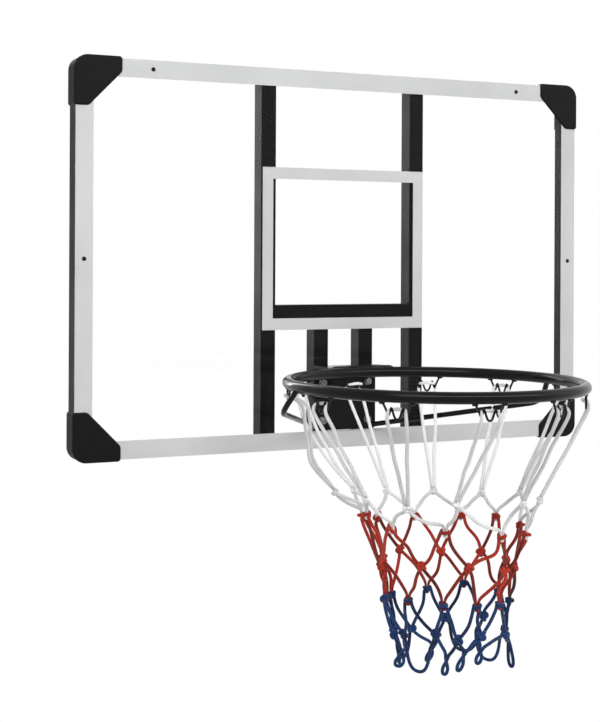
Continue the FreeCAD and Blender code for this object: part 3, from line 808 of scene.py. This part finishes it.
@dataclass
class Rim:
    """Ring, bracket, braces, their welds, the net hooks and the bolts.

    A plate line is a bead's height above the bracket's top and its distance outside the ring's middle line.
    The brace's grow is how much wider and taller than the bar the bead round its root is.
    """

    hooks: int = 11
    first_hook: float = 93.5
    wire: float = 1.5
    hook_sides: int = 10
    hook_stations: int = 110
    foot_bead: Bead = Bead(1.9, 3.0)
    foot_place: float = 20.0
    foot_half: float = 4.0
    foot_out: float = 0.6
    foot_drop: float = 0.2
    foot_stations: int = 16
    plate_bead: Bead = Bead(2.1, 5.0)
    plate_lines: tuple[tuple[float, float], ...] = ((0.1, 5.6), (-4.2, 8.0))
    plate_trim: float = 0.8
    plate_stations: int = 160
    brace: float = 4.0
    brace_bead: Bead = Bead(1.5, 3.4)
    brace_grow: tuple[float, float] = (0.9, 0.5)
    brace_seam: float = 26.0
    brace_stations: int = 48
    head_flats: float = 10.0
    head_height: float = 4.2
    head_corner: float = 1.2
    head_bevel: float = 0.93
    head_chamfer: float = 30.0
    head_dish: float = 0.25
    head_dish_share: float = 0.85
    head_foot: float = 0.4
    head_foot_share: float = 0.97
    head_sides: int = 72
    washer: float = 6.25
    washer_sides: int = 56
    centre: Array = field(init=False)
    radius: float = field(init=False)
    bar: float = field(init=False)

    def __post_init__(self) -> None:
        """Read the ring's place and size from its CAD node."""
        low, high = cad_box("rim_ring")
        self.centre = (low + high) / 2
        self.bar = (high[2] - low[2]) / 2
        self.radius = (high[0] - low[0]) / 2 - self.bar

    def axes(self, degrees: Array) -> tuple[Array, Array]:
        """Directions outwards from the ring's axis, as cosine and sine, and square to them along its bar.

        Args:
            degrees: Angles from the board's right-hand side, anticlockwise from above.

        Returns:
            Unit vectors outwards and along, by angle.
        """
        turn = np.radians(degrees)
        flat = np.zeros_like(turn)
        out = np.stack([np.cos(turn), np.sin(turn), flat], axis=-1)
        along = np.stack([np.sin(turn), -np.cos(turn), flat], axis=-1)
        return out, along

    def hook_angles(self) -> Array:
        """Angles of the hooks in degrees, from the board side and clockwise seen from above."""
        return self.first_hook - 360 * np.arange(self.hooks) / self.hooks

    def build(self) -> None:
        """Make hooks, welds, bolts and washers."""
        self.build_hooks()
        self.build_welds()
        self.build_fasteners()

    def build_hooks(self) -> None:
        """Bend each hook's wire as a W: down from one foot, up a barb, round a belly and back."""
        shape = np.array(HOOK_HALF + [(-across, drop) for across, drop in reversed(HOOK_HALF)])
        out, along = self.axes(self.hook_angles())
        foot = self.centre - UP * self.bar
        controls = (
            foot + out[:, None] * self.radius + along[:, None] * shape[None, :, :1] - UP * shape[None, :, 1:])
        wires = tubes(laid(spline(controls, self.hook_stations), self.wire), self.hook_sides)
        add_piece("hook_wires", wires, RIM_ENAMEL, Body.BOARD, "net_hooks")

    def build_welds(self) -> None:
        """Beads where the hooks, the bracket and the braces meet the ring or the plate."""
        beads = [self.foot_beads(), *self.plate_beads(), *self.brace_beads()]
        add_piece("rim_welds", joined(beads), RIM_ENAMEL, Body.BOARD)

    def foot_beads(self) -> Patch:
        """Straight beads along both feet of each hook.

        Returns:
            All of them as one patch.
        """
        out, along = self.axes(self.hook_angles())
        share = np.linspace(-1, 1, self.foot_stations)[None, :, None]
        under = self.centre + out * (self.radius + self.foot_out) - UP * (self.bar + self.foot_drop)
        feet = []
        for side in (-1, 1):
            spot = under + along * (side * self.foot_place)
            feet.append(spot[:, None] + along[:, None] * share * self.foot_half)
        return rippled(np.concatenate(feet), self.foot_bead, 2 * self.foot_half)

    def plate_beads(self) -> list[Patch]:
        """Arcs about the ring's axis where the bracket meets the ring, above and below its plate.

        Returns:
            One patch for each arc.
        """
        _, high = cad_box("rim_bracket")
        reach = math.degrees(math.asin(high[0] / self.radius)) - self.plate_trim
        out, _ = self.axes(np.linspace(90 - reach, 90 + reach, self.plate_stations))
        length = 2 * math.radians(reach) * self.radius
        beads = []
        for rise, outside in self.plate_lines:
            arc = self.centre * (1, 1, 0) + out * (self.radius + outside) + UP * (high[2] + rise)
            beads.append(rippled(arc[None], self.plate_bead, length))
        return beads

    def brace_beads(self) -> list[Patch]:
        """Ellipses round the roots of the braces, where they leave the plate.

        Returns:
            One patch for each brace.
        """
        turn = np.linspace(0, 2 * math.pi, self.brace_stations)[:, None]
        wide, tall = (self.brace + grow for grow in self.brace_grow)
        beads = []
        for name in ("left_brace", "right_brace"):
            low, high = cad_box(name)
            x = min(low[0], high[0], key=abs)
            root = np.array([x + math.copysign(self.brace, x), high[1], low[2] + self.brace])
            loop = root + np.cos(turn) * (wide, 0, 0) + np.sin(turn) * (0, 0, tall)
            beads.append(rippled(loop[None], self.brace_bead, self.brace_seam))
        return beads

    def build_fasteners(self) -> None:
        """Hex bolts with a chamfered head on pressed washers, at the centres of the CAD ones."""
        low, high = cad_box("rim_washers")
        columns = (low[0] + self.washer, high[0] - self.washer)
        rows = (low[2] + self.washer, high[2] - self.washer)
        spots = [np.array([x, low[1], z]) for x in columns for z in rows]
        depth = high[1] - low[1]
        heads = joined([self.bolt_head(spot) for spot in spots])
        discs = joined([self.washer_disc(spot, depth) for spot in spots])
        add_piece("bolt_heads", heads, BRIGHT_ZINC, Body.BOARD, "rim_bolts")
        add_piece("pressed_washers", discs, BRIGHT_ZINC, Body.BOARD, "rim_washers")

    def bolt_head(self, seat: Array) -> Patch:
        """A hexagon whose flats are distance over cosine, its top cut by a shallow cone.

        Args:
            seat: Middle of the head's underside.

        Returns:
            The head, from the middle of its top to its underside.
        """
        turn = around(self.head_sides)[None, :]
        inner = self.head_flats / 2
        flats = inner / np.cos((turn + math.pi / 6) % (math.pi / 3) - math.pi / 6)
        reach = np.minimum(flats, inner * self.head_corner) * HEAD_SHARES
        drop = np.maximum(reach - inner * self.head_bevel, 0) * math.tan(math.radians(self.head_chamfer))
        height = self.head_height - drop - self.head_dish * (HEAD_SHARES < self.head_dish_share)
        height[-2] = self.head_foot
        height[-1] = 0.0
        reach[-1] *= self.head_foot_share
        return turned(seat, reach, height, turn)

    def washer_disc(self, face: Array, depth: float) -> Patch:
        """A disc with a rounded rim: radius and height follow a short profile round the axis.

        Args:
            face: Middle of the washer's front.
            depth: Its thickness.

        Returns:
            The washer's front and rim.
        """
        turn = around(self.washer_sides)[None, :]
        return turned(face, WASHER_PROFILE[:, :1] * self.washer, -WASHER_PROFILE[:, 1:] * depth, turn)

    def dress(self) -> None:
        """Enamel on the ring, its bracket and braces."""
        dress(RIM_ENAMEL, "rim_ring", "rim_bracket", "left_brace", "right_brace")


# The net

# A loop's way over its hook: along the ring, outwards, up, and the cord's radius
LOOP_TOP = np.array([
    (12.8, 1.2, -25.0, 2.5), (12.5, 4.3, -17.5, 2.3), (11.8, 2.2, -10.8, 1.9), (11.0, -2.2, -9.8, 1.9),
    (8.6, -4.6, -9.6, 2.2), (3.5, -4.8, -8.6, 2.4)])
# How much of a loop's tuck each of these points has
TUCK_SHARES = np.array([1.0, 0.55, 0.0, 0.0, 0.0, 0.0])[None, :, None]
# Places down a loop's leg, as shares of its fall
LEG_SHARES = np.array([0.985, 0.9, 0.76, 0.6, 0.45, 0.3, 0.15])[None, :, None]
# A tight bend in a hitch: along the row, up, and share of the cord's radius
BIGHT = np.array([
    (-2.6, 9.5, 0.9), (-1.8, 3.5, 0.68), (-1.9, -2.5, 0.68), (-1.6, -6.2, 0.86), (1.6, -6.2, 0.86),
    (1.9, -2.5, 0.68), (1.8, 3.5, 0.68), (2.6, 9.5, 0.9)])
# An open bend at the hem: along the row, up and outwards
HEM_BEND = np.array([
    (-21.0, 36.0, 0.0), (-20.0, 26.0, 0.0), (-18.0, 15.0, 0.0), (-13.5, 4.5, 0.0), (-6.0, -1.0, 0.0),
    (6.0, -1.0, 0.0), (13.5, 4.5, 0.0), (18.0, 15.0, 0.0), (20.0, 26.0, 0.0), (21.0, 36.0, 0.0)])
# An eye at the hem, in degrees round it, and the neck where the cord comes to it, as HEM_BEND
EYE_TURNS = np.radians([40.0, 0.0, -50.0, -130.0, -180.0, -220.0])
EYE_NECK = np.array([(-1.8, 24.0, 2.0), (0.0, 18.0, 2.0)])
# Places along a cord between two knots and along a hem loop's leg, as shares
RUN_SHARES = np.array([0.18, 0.4, 0.62, 0.84])[None, :, None]
HEM_SHARES = np.array([0.2, 0.5, 0.8])[None, :, None]


@dataclass(frozen=True)
class KnotRow:
    """One row of the net: its circle, each knot's turn from an even spacing and drop, and the knots' scale.

    A turn is in degrees, and a drop is below the ring's middle.
    """

    middle: float
    radius: float
    phase: float
    turns: tuple[float, ...]
    drops: tuple[float, ...]
    scale: float = 1.0


@dataclass
class Net:
    """Three-coloured net: long loops from the hooks, then rows of cords tied into diamonds.

    Loops and knots count clockwise from the board side. Each loop has a tuck, how far it leaves its hook
    inwards, and a plumb, the power by which it falls straight before it turns to its knot. One is kinked: at
    a share of its fall it has come only a share of the way to its knot. Each hem loop has the height of its
    eye (0 for an open bend), the eye's twist and width, and its slant.
    """

    rim: Rim
    seed: int = 11
    random: np.random.Generator = field(init=False)
    cord: float = 2.5
    dyed_cord: float = 2.4
    sides: int = 12
    stations: int = 170
    stray: float = 3.0
    hem_stray: float = 1.2
    leg_sway: tuple[float, float, float] = (1.6, 1.6, 0.48)
    leg_gap: float = 1.9
    leg_end: float = 3.0
    # Painted shade on the loop cords: a base tone, darker on the thrower's side and by a random spread.
    lit_share: float = 0.55
    front_shade: float = 0.4
    shade_spread: float = 0.22
    coil: float = 4.7
    coil_cord: float = 1.04
    coil_climb: float = 5.8
    coil_lean: float = 0.45
    coil_entry: tuple[float, float] = (0.6, 6.0)
    coil_exit: tuple[float, float] = (0.4, 7.0)
    coil_stations: int = 14
    knot_reach: float = 1.45
    knot_depth: float = 2.1
    knot_cord: float = 2.2
    knot_tilt: float = 0.45
    # The lowest tone of a knot, its deepest painted shade.
    knot_least_tone: float = 0.4
    knot_sides: int = 10
    knot_stations: int = 84
    tuck: tuple[float, ...] = (0.0, 0.0, 0.0, 0.0, 0.0, 0.0, 0.0, 0.0, 0.0, 24.0, 0.0)
    tuck_twist: float = 0.2
    plumb: tuple[float, ...] = (1.0, 1.0, 1.05, 1.0, 1.0, 1.0, 1.0, 1.0, 1.0, 1.0, 1.6)
    kinked: int = 9
    kink: tuple[float, float] = (0.66, 0.18)
    inside: tuple[int, ...] = (2, 9)
    white_knots: KnotRow = KnotRow(
        5.9, 146.8, 0.0, (-5, -1, 3, 8, -15, -2, -10, -3, 5, -17, -12),
        (175, 176, 175, 165, 153, 150, 146, 154, 149, 161, 168), 0.95)
    red_hitches: KnotRow = KnotRow(
        17.1, 118.4, 0.5, (2, 1, 6, 12, 2, 4, -3, -7, -3, -2, 3),
        (209, 207, 202, 206, 203, 197, 189, 191, 180, 194, 205))
    red_knots: KnotRow = KnotRow(
        23.2, 96.2, 0.0, (10, 2, -1, 2, -14, 0, -3, -9, -24, -20, 5),
        (252, 259, 255, 257, 251, 251, 242, 243, 248, 267, 255), 1.2)
    blue_hitches: KnotRow = KnotRow(
        22.6, 90.1, 0.5, (-1, -3, -9, 1, -17, -10, -7, -7, -15, -13, 10),
        (312, 302, 304, 309, 298, 296, 294, 293, 305, 313, 312))
    blue_knots: KnotRow = KnotRow(
        26.8, 80.0, 0.0, (7, 1, -9, -14, -13, -20, -12, -1, -7, -21, 11),
        (367, 354, 345, 351, 347, 339, 344, 338, 347, 364, 357), 1.25)
    hem: KnotRow = KnotRow(
        35.9, 82.4, 0.5, (9, 3, 10, 1, -48, -34, -14, -9, -15, -11, 11),
        (420, 402, 410, 408, 378, 388, 394, 394, 404, 411, 404))
    hem_eyes: tuple[float, ...] = (1.1, 0.0, 0.0, 1.7, 1.0, 1.15, 1.0, 0.0, 0.95, 1.1, 0.0)
    hem_twists: tuple[float, ...] = (0.3, 0.0, 0.0, 1.0, -0.3, 0.2, 0.3, 0.0, 1.1, 0.5, 0.0)
    hem_widths: tuple[float, ...] = (1.6, 1.0, 1.0, 1.0, 1.0, 1.0, 1.0, 1.0, 1.7, 1.2, 1.0)
    hem_slants: tuple[float, ...] = (0.45, 0.0, 0.0, -0.14, 0.3, 0.42, 0.15, 0.0, 0.4, 0.0, 0.0)
    eye_half: tuple[float, float] = (3.8, 7.6)
    eye_middle: float = 7.4
    blend_top: float = -195.0
    blend_end: float = -318.0

    def __post_init__(self) -> None:
        """Start the seeded numbers that make cords and knots differ from each other."""
        self.random = np.random.default_rng(self.seed)

    def spots(self, row: KnotRow) -> tuple[Array, Array, Array]:
        """Places of a row's knots, on a circle about the row's middle.

        Args:
            row: The row.

        Returns:
            Places, directions outwards and directions along the row, by knot.
        """
        count = self.rim.hooks
        angles = self.rim.first_hook - 360 * (np.arange(count) + row.phase) / count + np.array(row.turns)
        out, along = self.rim.axes(angles)
        drops = np.array(row.drops, float)[:, None]
        places = self.rim.centre + (row.middle, 0.0, 0.0) + out * row.radius - UP * drops
        return places, out, along

    def build(self) -> None:
        """Make the loops and the three colours of mesh."""
        self.build_loops()
        rows = (self.white_knots, self.red_knots, self.blue_knots)
        white, red, blue = (self.spots(row)[0] for row in rows)
        whites = [self.knots(self.white_knots), self.bights(white, self.red_hitches, self.cord)]
        reds = [
            self.knots(self.red_knots), self.hitches(red, self.red_hitches),
            self.bights(red, self.blue_hitches, self.dyed_cord)]
        blues = [self.knots(self.blue_knots), self.hitches(blue, self.blue_hitches), self.hem_loops(blue)]
        add_piece("white_net", joined(whites), WHITE_CORD, Body.NET, "net_white_mesh")
        add_piece("red_net", joined(reds), RED_CORD, Body.NET, "net_red_mesh")
        add_piece("blue_net", joined(blues), BLUE_CORD, Body.NET, "net_blue_mesh")

    def build_loops(self) -> None:
        """Long loops: up from a knot, over one notch of the hook, across behind it and down the other."""
        out, _ = self.rim.axes(self.rim.hook_angles())
        tone = self.tones(out)[:, None]
        halves = []
        for side in (-1, 1):
            top = self.loop_top(side)
            leg = self.loop_leg(top[:, :1], side)
            parts = [laid(leg, self.cord, tone), laid(top, LOOP_TOP[:, 3], tone)]
            halves.append(np.concatenate(parts, axis=1))
        controls = np.concatenate([halves[0], halves[1][:, ::-1]], axis=1)
        cords = tubes(spline(controls, self.stations), self.sides)
        loops = add_piece("loop_cords", cords, WHITE_CORD, None, "net_loops")
        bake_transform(loops)

    def loop_top(self, side: int) -> Array:
        """Half of each loop's way over its hook: the points of LOOP_TOP, less the loop's tuck.

        The loops beside the braces hang the other way round, inside their hooks.

        Args:
            side: -1 for the first half, 1 for the second.

        Returns:
            Controls by loop, from the leg to the middle.
        """
        out, along = self.rim.axes(self.rim.hook_angles())
        inside = np.isin(np.arange(self.rim.hooks), self.inside)
        facing = np.where(inside, -1.0, 1.0)[:, None, None] * out[:, None]
        tucked = np.array(self.tuck)[:, None, None] * TUCK_SHARES * (1 + self.tuck_twist * side)
        level = self.rim.centre[2] - self.rim.bar
        spot = self.rim.centre * (1, 1, 0) + UP * level + out * self.rim.radius
        return (
            spot[:, None] + along[:, None] * (side * LOOP_TOP[:, :1]) + facing * LOOP_TOP[:, 1:2]
            + UP * LOOP_TOP[:, 2:3] - out[:, None] * tucked)

    def loop_leg(self, start: Array, side: int) -> Array:
        """One leg of each loop: it nears its knot with a power of its fall, and sways most in its middle.

        Args:
            start: Where the legs leave their hooks, by loop.
            side: -1 for the first legs, 1 for the second.

        Returns:
            Controls by loop, from the knot up.
        """
        knots, _, _ = self.spots(self.white_knots)
        _, along = self.rim.axes(self.rim.hook_angles())
        foot = (knots + along * (side * self.leg_gap) + UP * self.leg_end)[:, None]
        pull = LEG_SHARES ** np.array(self.plumb)[:, None, None]
        fallen, pulled = self.kink
        pull[self.kinked] = np.interp(LEG_SHARES[0], (0.0, fallen, 1.0), (0.0, pulled, 1.0))
        level = (start * (1 - pull) + foot * pull) * (1, 1, 0)
        upright = UP * (start * (1 - LEG_SHARES) + foot * LEG_SHARES)
        sway = self.random.normal(0, 1, level.shape) * self.leg_sway * np.sin(math.pi * LEG_SHARES)
        return level + upright + sway

    def tones(self, out: Array) -> Array:
        """How lit each cord is, from 0 to 1: a painted shade, deepest on the thrower's side and spread at
        random.
        """
        chance = self.random.normal(0, self.shade_spread, len(out))
        return np.clip(self.lit_share + self.front_shade * out[:, 1] + chance, 0, 1)

    def slack(self, count: int, amount: float) -> Array:
        """Small seeded departures of a cord from its line, in millimetres."""
        return self.random.normal(0, amount, (self.rim.hooks, count, 3))

    def run(self, start: Array, end: Array) -> Array:
        """Controls of a cord between two rows of points, a little off its straight line.

        Args:
            start: First points, by cord.
            end: Last points, by cord.

        Returns:
            Controls by cord, ends left out.
        """
        line = start[:, None] * (1 - RUN_SHARES) + end[:, None] * RUN_SHARES
        bow = self.slack(1, self.stray) * np.sin(math.pi * RUN_SHARES)
        wave = self.slack(1, self.stray / 2) * np.sin(2 * math.pi * RUN_SHARES)
        return line + bow + wave

    def cords(
            self, radius: float, ends: tuple[Array, Array], runs: tuple[Array, Array, Array],
            middle: float | Array) -> Patch:
        """Cords of two legs and what joins them, each leg with a tone of its own, a painted shade drawn at
        random.

        Args:
            radius: Radius of the legs.
            ends: First and last points, by cord.
            runs: Controls of the first leg, of what joins the legs and of the last leg, by cord.
            middle: Radius of what joins the legs, or one for each of its controls.

        Returns:
            All cords as one patch.
        """
        # Painted shade: each leg gets a random tone that darkens the whole leg.
        tone = self.random.uniform(0, 1, (2, self.rim.hooks, 1))
        controls = np.concatenate([
            laid(ends[0][:, None], radius, tone[0]), laid(runs[0], radius, tone[0]),
            laid(runs[1], middle, tone.mean(axis=0)), laid(runs[2], radius, tone[1]),
            laid(ends[1][:, None], radius, tone[1])], axis=1)
        return tubes(spline(controls, self.stations), self.sides)

    def bights(self, knots: Array, row: KnotRow, radius: float) -> Patch:
        """Cords from knot to knot that dip into a hitch between them: two straight runs and a tight bend.

        Args:
            knots: The knots above, by place.
            row: The hitches that the cords dip into.
            radius: Radius of the cords.

        Returns:
            One cord for each hitch.
        """
        spots, _, along = self.spots(row)
        before, after = knots, np.roll(knots, -1, axis=0)
        dip = spots[:, None] + along[:, None] * BIGHT[:, :1] + UP * BIGHT[:, 1:2]
        fall = self.run(before, dip[:, 0])
        rise = self.run(dip[:, -1], after)
        return self.cords(radius, (before, after), (fall, dip, rise), radius * BIGHT[:, 2])

    def hitches(self, knots: Array, row: KnotRow) -> Patch:
        """Cords that rise from a knot, wind one and a half turns round the bight above and fall to the next.

        The turns are a circle in plan that climbs evenly and leans to one side.

        Args:
            knots: The knots below, by place.
            row: The hitches.

        Returns:
            One cord for each hitch.
        """
        spots, out, along = self.spots(row)
        before, after = knots, np.roll(knots, -1, axis=0)
        share = np.linspace(0, 1, self.coil_stations)[None, :, None]
        turn = math.pi * (3 * share - 1)
        climb = self.coil_climb * (share - 0.5)
        lean = self.random.normal(0, self.coil_lean, (len(spots), 1, 1))
        coil = spots[:, None] + UP * climb + self.coil * (
            along[:, None] * np.cos(turn) + out[:, None] * np.sin(turn) + UP * lean * np.cos(turn))
        entry = along * self.coil_entry[0] - UP * self.coil_entry[1]
        leave = along * self.coil_exit[0] + UP * self.coil_exit[1]
        rise = self.run(before, coil[:, 0] + entry)
        fall = self.run(coil[:, -1] - leave, after)
        return self.cords(
            self.dyed_cord, (before, after), (rise, coil, fall), self.dyed_cord * self.coil_cord)

    def knots(self, row: KnotRow) -> Patch:
        """Overhand knots: the trefoil (sin t + 2 sin 2t, cos t - 2 cos 2t, -sin 3t), drawn tight.

        Args:
            row: The row that they tie.

        Returns:
            One knot for each place of the row.
        """
        spots, out, _ = self.spots(row)
        t = np.linspace(0, 2 * math.pi, self.knot_stations)[None, :, None]
        spin = self.random.uniform(0, 2 * math.pi, (len(spots), 1, 1))
        tilt = self.random.normal(0, self.knot_tilt, (len(spots), 1))
        face = unit(out * np.cos(tilt) + UP * np.sin(tilt))
        side = unit(np.cross(UP, face))
        rise = np.cross(face, side)
        flat_x, flat_y = np.sin(t) + 2 * np.sin(2 * t), np.cos(t) - 2 * np.cos(2 * t)
        spun_x = flat_x * np.cos(spin) - flat_y * np.sin(spin)
        spun_y = flat_x * np.sin(spin) + flat_y * np.cos(spin)
        flat = self.knot_reach * (spun_x * side[:, None] + spun_y * rise[:, None])
        curve = spots[:, None] + row.scale * (flat - self.knot_depth * np.sin(3 * t) * face[:, None])
        # Painted shade: each knot gets a random tone that darkens it whole.
        tone = self.random.uniform(self.knot_least_tone, 1, (len(spots), 1))
        return tubes(laid(curve, self.knot_cord * row.scale, tone), self.knot_sides)

    def hem_loops(self, knots: Array) -> Patch:
        """Bottom loops from knot to knot: an open bend, or two runs that cross above a small eye.

        An eye is an ellipse, entered at its top from both sides, stretched and slanted as each loop hangs.

        Args:
            knots: The lowest knots, by place.

        Returns:
            One cord for each loop.
        """
        spots, out, along = self.spots(self.hem)
        before, after = knots, np.roll(knots, -1, axis=0)
        across = self.eye_half[0] * np.cos(EYE_TURNS)
        rise = self.eye_middle + self.eye_half[1] * np.sin(EYE_TURNS)
        ring = np.stack([across, rise, np.zeros_like(rise)], axis=-1)
        eye = np.concatenate([EYE_NECK, ring, EYE_NECK[::-1] * (-1, 1, -1)])
        stretch = np.array(self.hem_eyes)[:, None, None]
        width = np.array(self.hem_widths)[:, None, None]
        sizes = np.concatenate([width, stretch, np.ones_like(stretch)], axis=-1)
        shape = np.where(stretch > 0, eye[None] * sizes, HEM_BEND[None])
        twist = np.array(self.hem_twists)[:, None]
        sideways = unit(along * np.cos(twist) + out * np.sin(twist))
        slant = np.array(self.hem_slants)[:, None, None] * shape[..., 1:2]
        low = (
            spots[:, None] + sideways[:, None] * shape[..., :1] + RIGHT * slant
            + UP * shape[..., 1:2] + out[:, None] * shape[..., 2:])
        first = before[:, None] * (1 - HEM_SHARES) + low[:, :1] * HEM_SHARES
        first_leg = first + self.slack(HEM_SHARES.size, self.hem_stray)
        last = after[:, None] * HEM_SHARES + low[:, -1:] * (1 - HEM_SHARES)
        last_leg = last + self.slack(HEM_SHARES.size, self.hem_stray)
        return self.cords(self.dyed_cord, (before, after), (first_leg, low, last_leg), self.dyed_cord)


# The studio


@dataclass(frozen=True)
class Lamp:
    """A rectangular lamp: its name, place, width, height and power."""

    name: str
    place: tuple[float, float, float]
    width: float
    height: float
    power: float


@dataclass
class Studio:
    """White studio: pale floor, soft lamps and a camera at the photograph's place.

    A wide strip draws lines of light on the rim, and one lamp stands behind the uprights.
    """

    eye: tuple[float, float, float] = (-1077.3, -1984.9, 2.0)
    yaw: float = 0.41117
    roll: float = 0.00483
    focal_pixels: float = 1401.7
    principal: tuple[float, float] = (215.0, 258.0)
    sensor: float = 36.0
    white: str = "#FFFFFF"
    floor_colour: str = "#F4F4F4"
    floor_level: float = -1250.0
    floor_size: float = 9000.0
    floor_glow: float = 1.07
    floor_share: float = 0.92
    ambient: float = 0.29
    aim: tuple[float, float, float] = (0.0, -150.0, -100.0)
    lamps: tuple[Lamp, ...] = (
        Lamp("key", (-1800.0, -1800.0, 2100.0), 1500.0, 360.0, 12.0),
        Lamp("strip", (-300.0, -3100.0, 1700.0), 8000.0, 480.0, 125.0),
        Lamp("fill", (2100.0, -1500.0, 700.0), 1700.0, 1700.0, 5.0),
        Lamp("back", (-340.0, 900.0, 250.0), 200.0, 900.0, 4.2))

    def build(self) -> None:
        """Set the view, the world, the floor, the lamps and the camera."""
        bpy.context.scene.view_settings.view_transform = "Standard"
        self.build_world()
        self.build_floor()
        self.build_lamps()
        self.build_camera()

    def build_world(self) -> None:
        """White where it is seen, plain soft light where it falls on the object."""
        world = bpy.data.worlds.new("studio")
        bpy.context.scene.world = world
        nodes = Nodes(world)
        light = nodes.add("Background", Color=linear(self.white), Strength=self.ambient)
        backdrop = nodes.add("Background", Color=linear(self.white), Strength=1.0)
        mixed = nodes.add("MixShader", i0=nodes.seen(), i1=light, i2=backdrop)
        nodes.add("OutputWorld", Surface=mixed)

    def build_floor(self) -> None:
        """A pale floor that looks white, keeps a trace of the object's shadow and is open from below."""
        half = self.floor_size / 2 * MM
        level = self.floor_level * MM
        mesh = bpy.data.meshes.new("floor")
        corners = [(-half, -half, level), (half, -half, level), (half, half, level), (-half, half, level)]
        mesh.from_pydata(corners, [], [(0, 1, 2, 3)])
        material = bpy.data.materials.new("pale studio floor")
        nodes = Nodes(material)
        matt = nodes.add("BsdfDiffuse", Color=linear(self.floor_colour))
        glow = nodes.add("Emission", Color=linear(self.white), Strength=self.floor_glow)
        share = nodes.compute("MULTIPLY", nodes.seen(), self.floor_share)
        mixed = nodes.add("MixShader", i0=share, i1=matt, i2=glow)
        below = nodes.add("NewGeometry").outputs["Backfacing"]
        sided = nodes.add("MixShader", i0=below, i1=mixed, i2=nodes.add("BsdfTransparent"))
        nodes.add("OutputMaterial", Surface=sided)
        mesh.materials.append(material)
        floor = placed("floor", mesh)

    def build_lamps(self) -> None:
        """Hang every lamp, turned to the object."""
        for lamp in self.lamps:
            light = bpy.data.lights.new(lamp.name, "AREA")
            light.shape = "RECTANGLE"
            light.size = lamp.width * MM
            light.size_y = lamp.height * MM
            light.energy = lamp.power
            holder = placed(lamp.name, light)
            holder.location = Vector(lamp.place) * MM
            ahead = Vector(self.aim) - Vector(lamp.place)
            holder.rotation_euler = ahead.to_track_quat("-Z", "Y").to_euler()

    def build_camera(self) -> None:
        """A level camera to the left of the board, its frame shifted as the photograph's is."""
        ahead = np.array([math.sin(self.yaw), math.cos(self.yaw), 0.0])
        level = np.array([math.cos(self.yaw), -math.sin(self.yaw), 0.0])
        right = math.cos(self.roll) * level + math.sin(self.roll) * UP
        up = math.cos(self.roll) * UP - math.sin(self.roll) * level
        data = bpy.data.cameras.new("camera")
        long_side = max(IMAGE_WIDTH, IMAGE_HEIGHT)
        data.sensor_width = self.sensor
        data.lens = self.focal_pixels * self.sensor / long_side
        data.shift_x = (IMAGE_WIDTH / 2 - self.principal[0]) / long_side
        data.shift_y = (self.principal[1] - IMAGE_HEIGHT / 2) / long_side
        camera = placed("camera", data)
        stance = Matrix(np.stack([right, up, -ahead], axis=1).tolist()).to_4x4()
        camera.matrix_world = Matrix.Translation(Vector(self.eye) * MM) @ stance
        bpy.context.scene.camera = camera


def main() -> None:
    """Build and dress every sub-assembly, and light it."""
    logging.basicConfig(level=logging.INFO, format="%(message)s")
    board = Board()
    tube_frame = TubeFrame()
    rim = Rim()
    net = Net(rim)
    for assembly in (board, tube_frame, rim):
        assembly.build()
        assembly.dress()
    net.build()
    Studio().build()


if __name__ == "__main__":
    main()
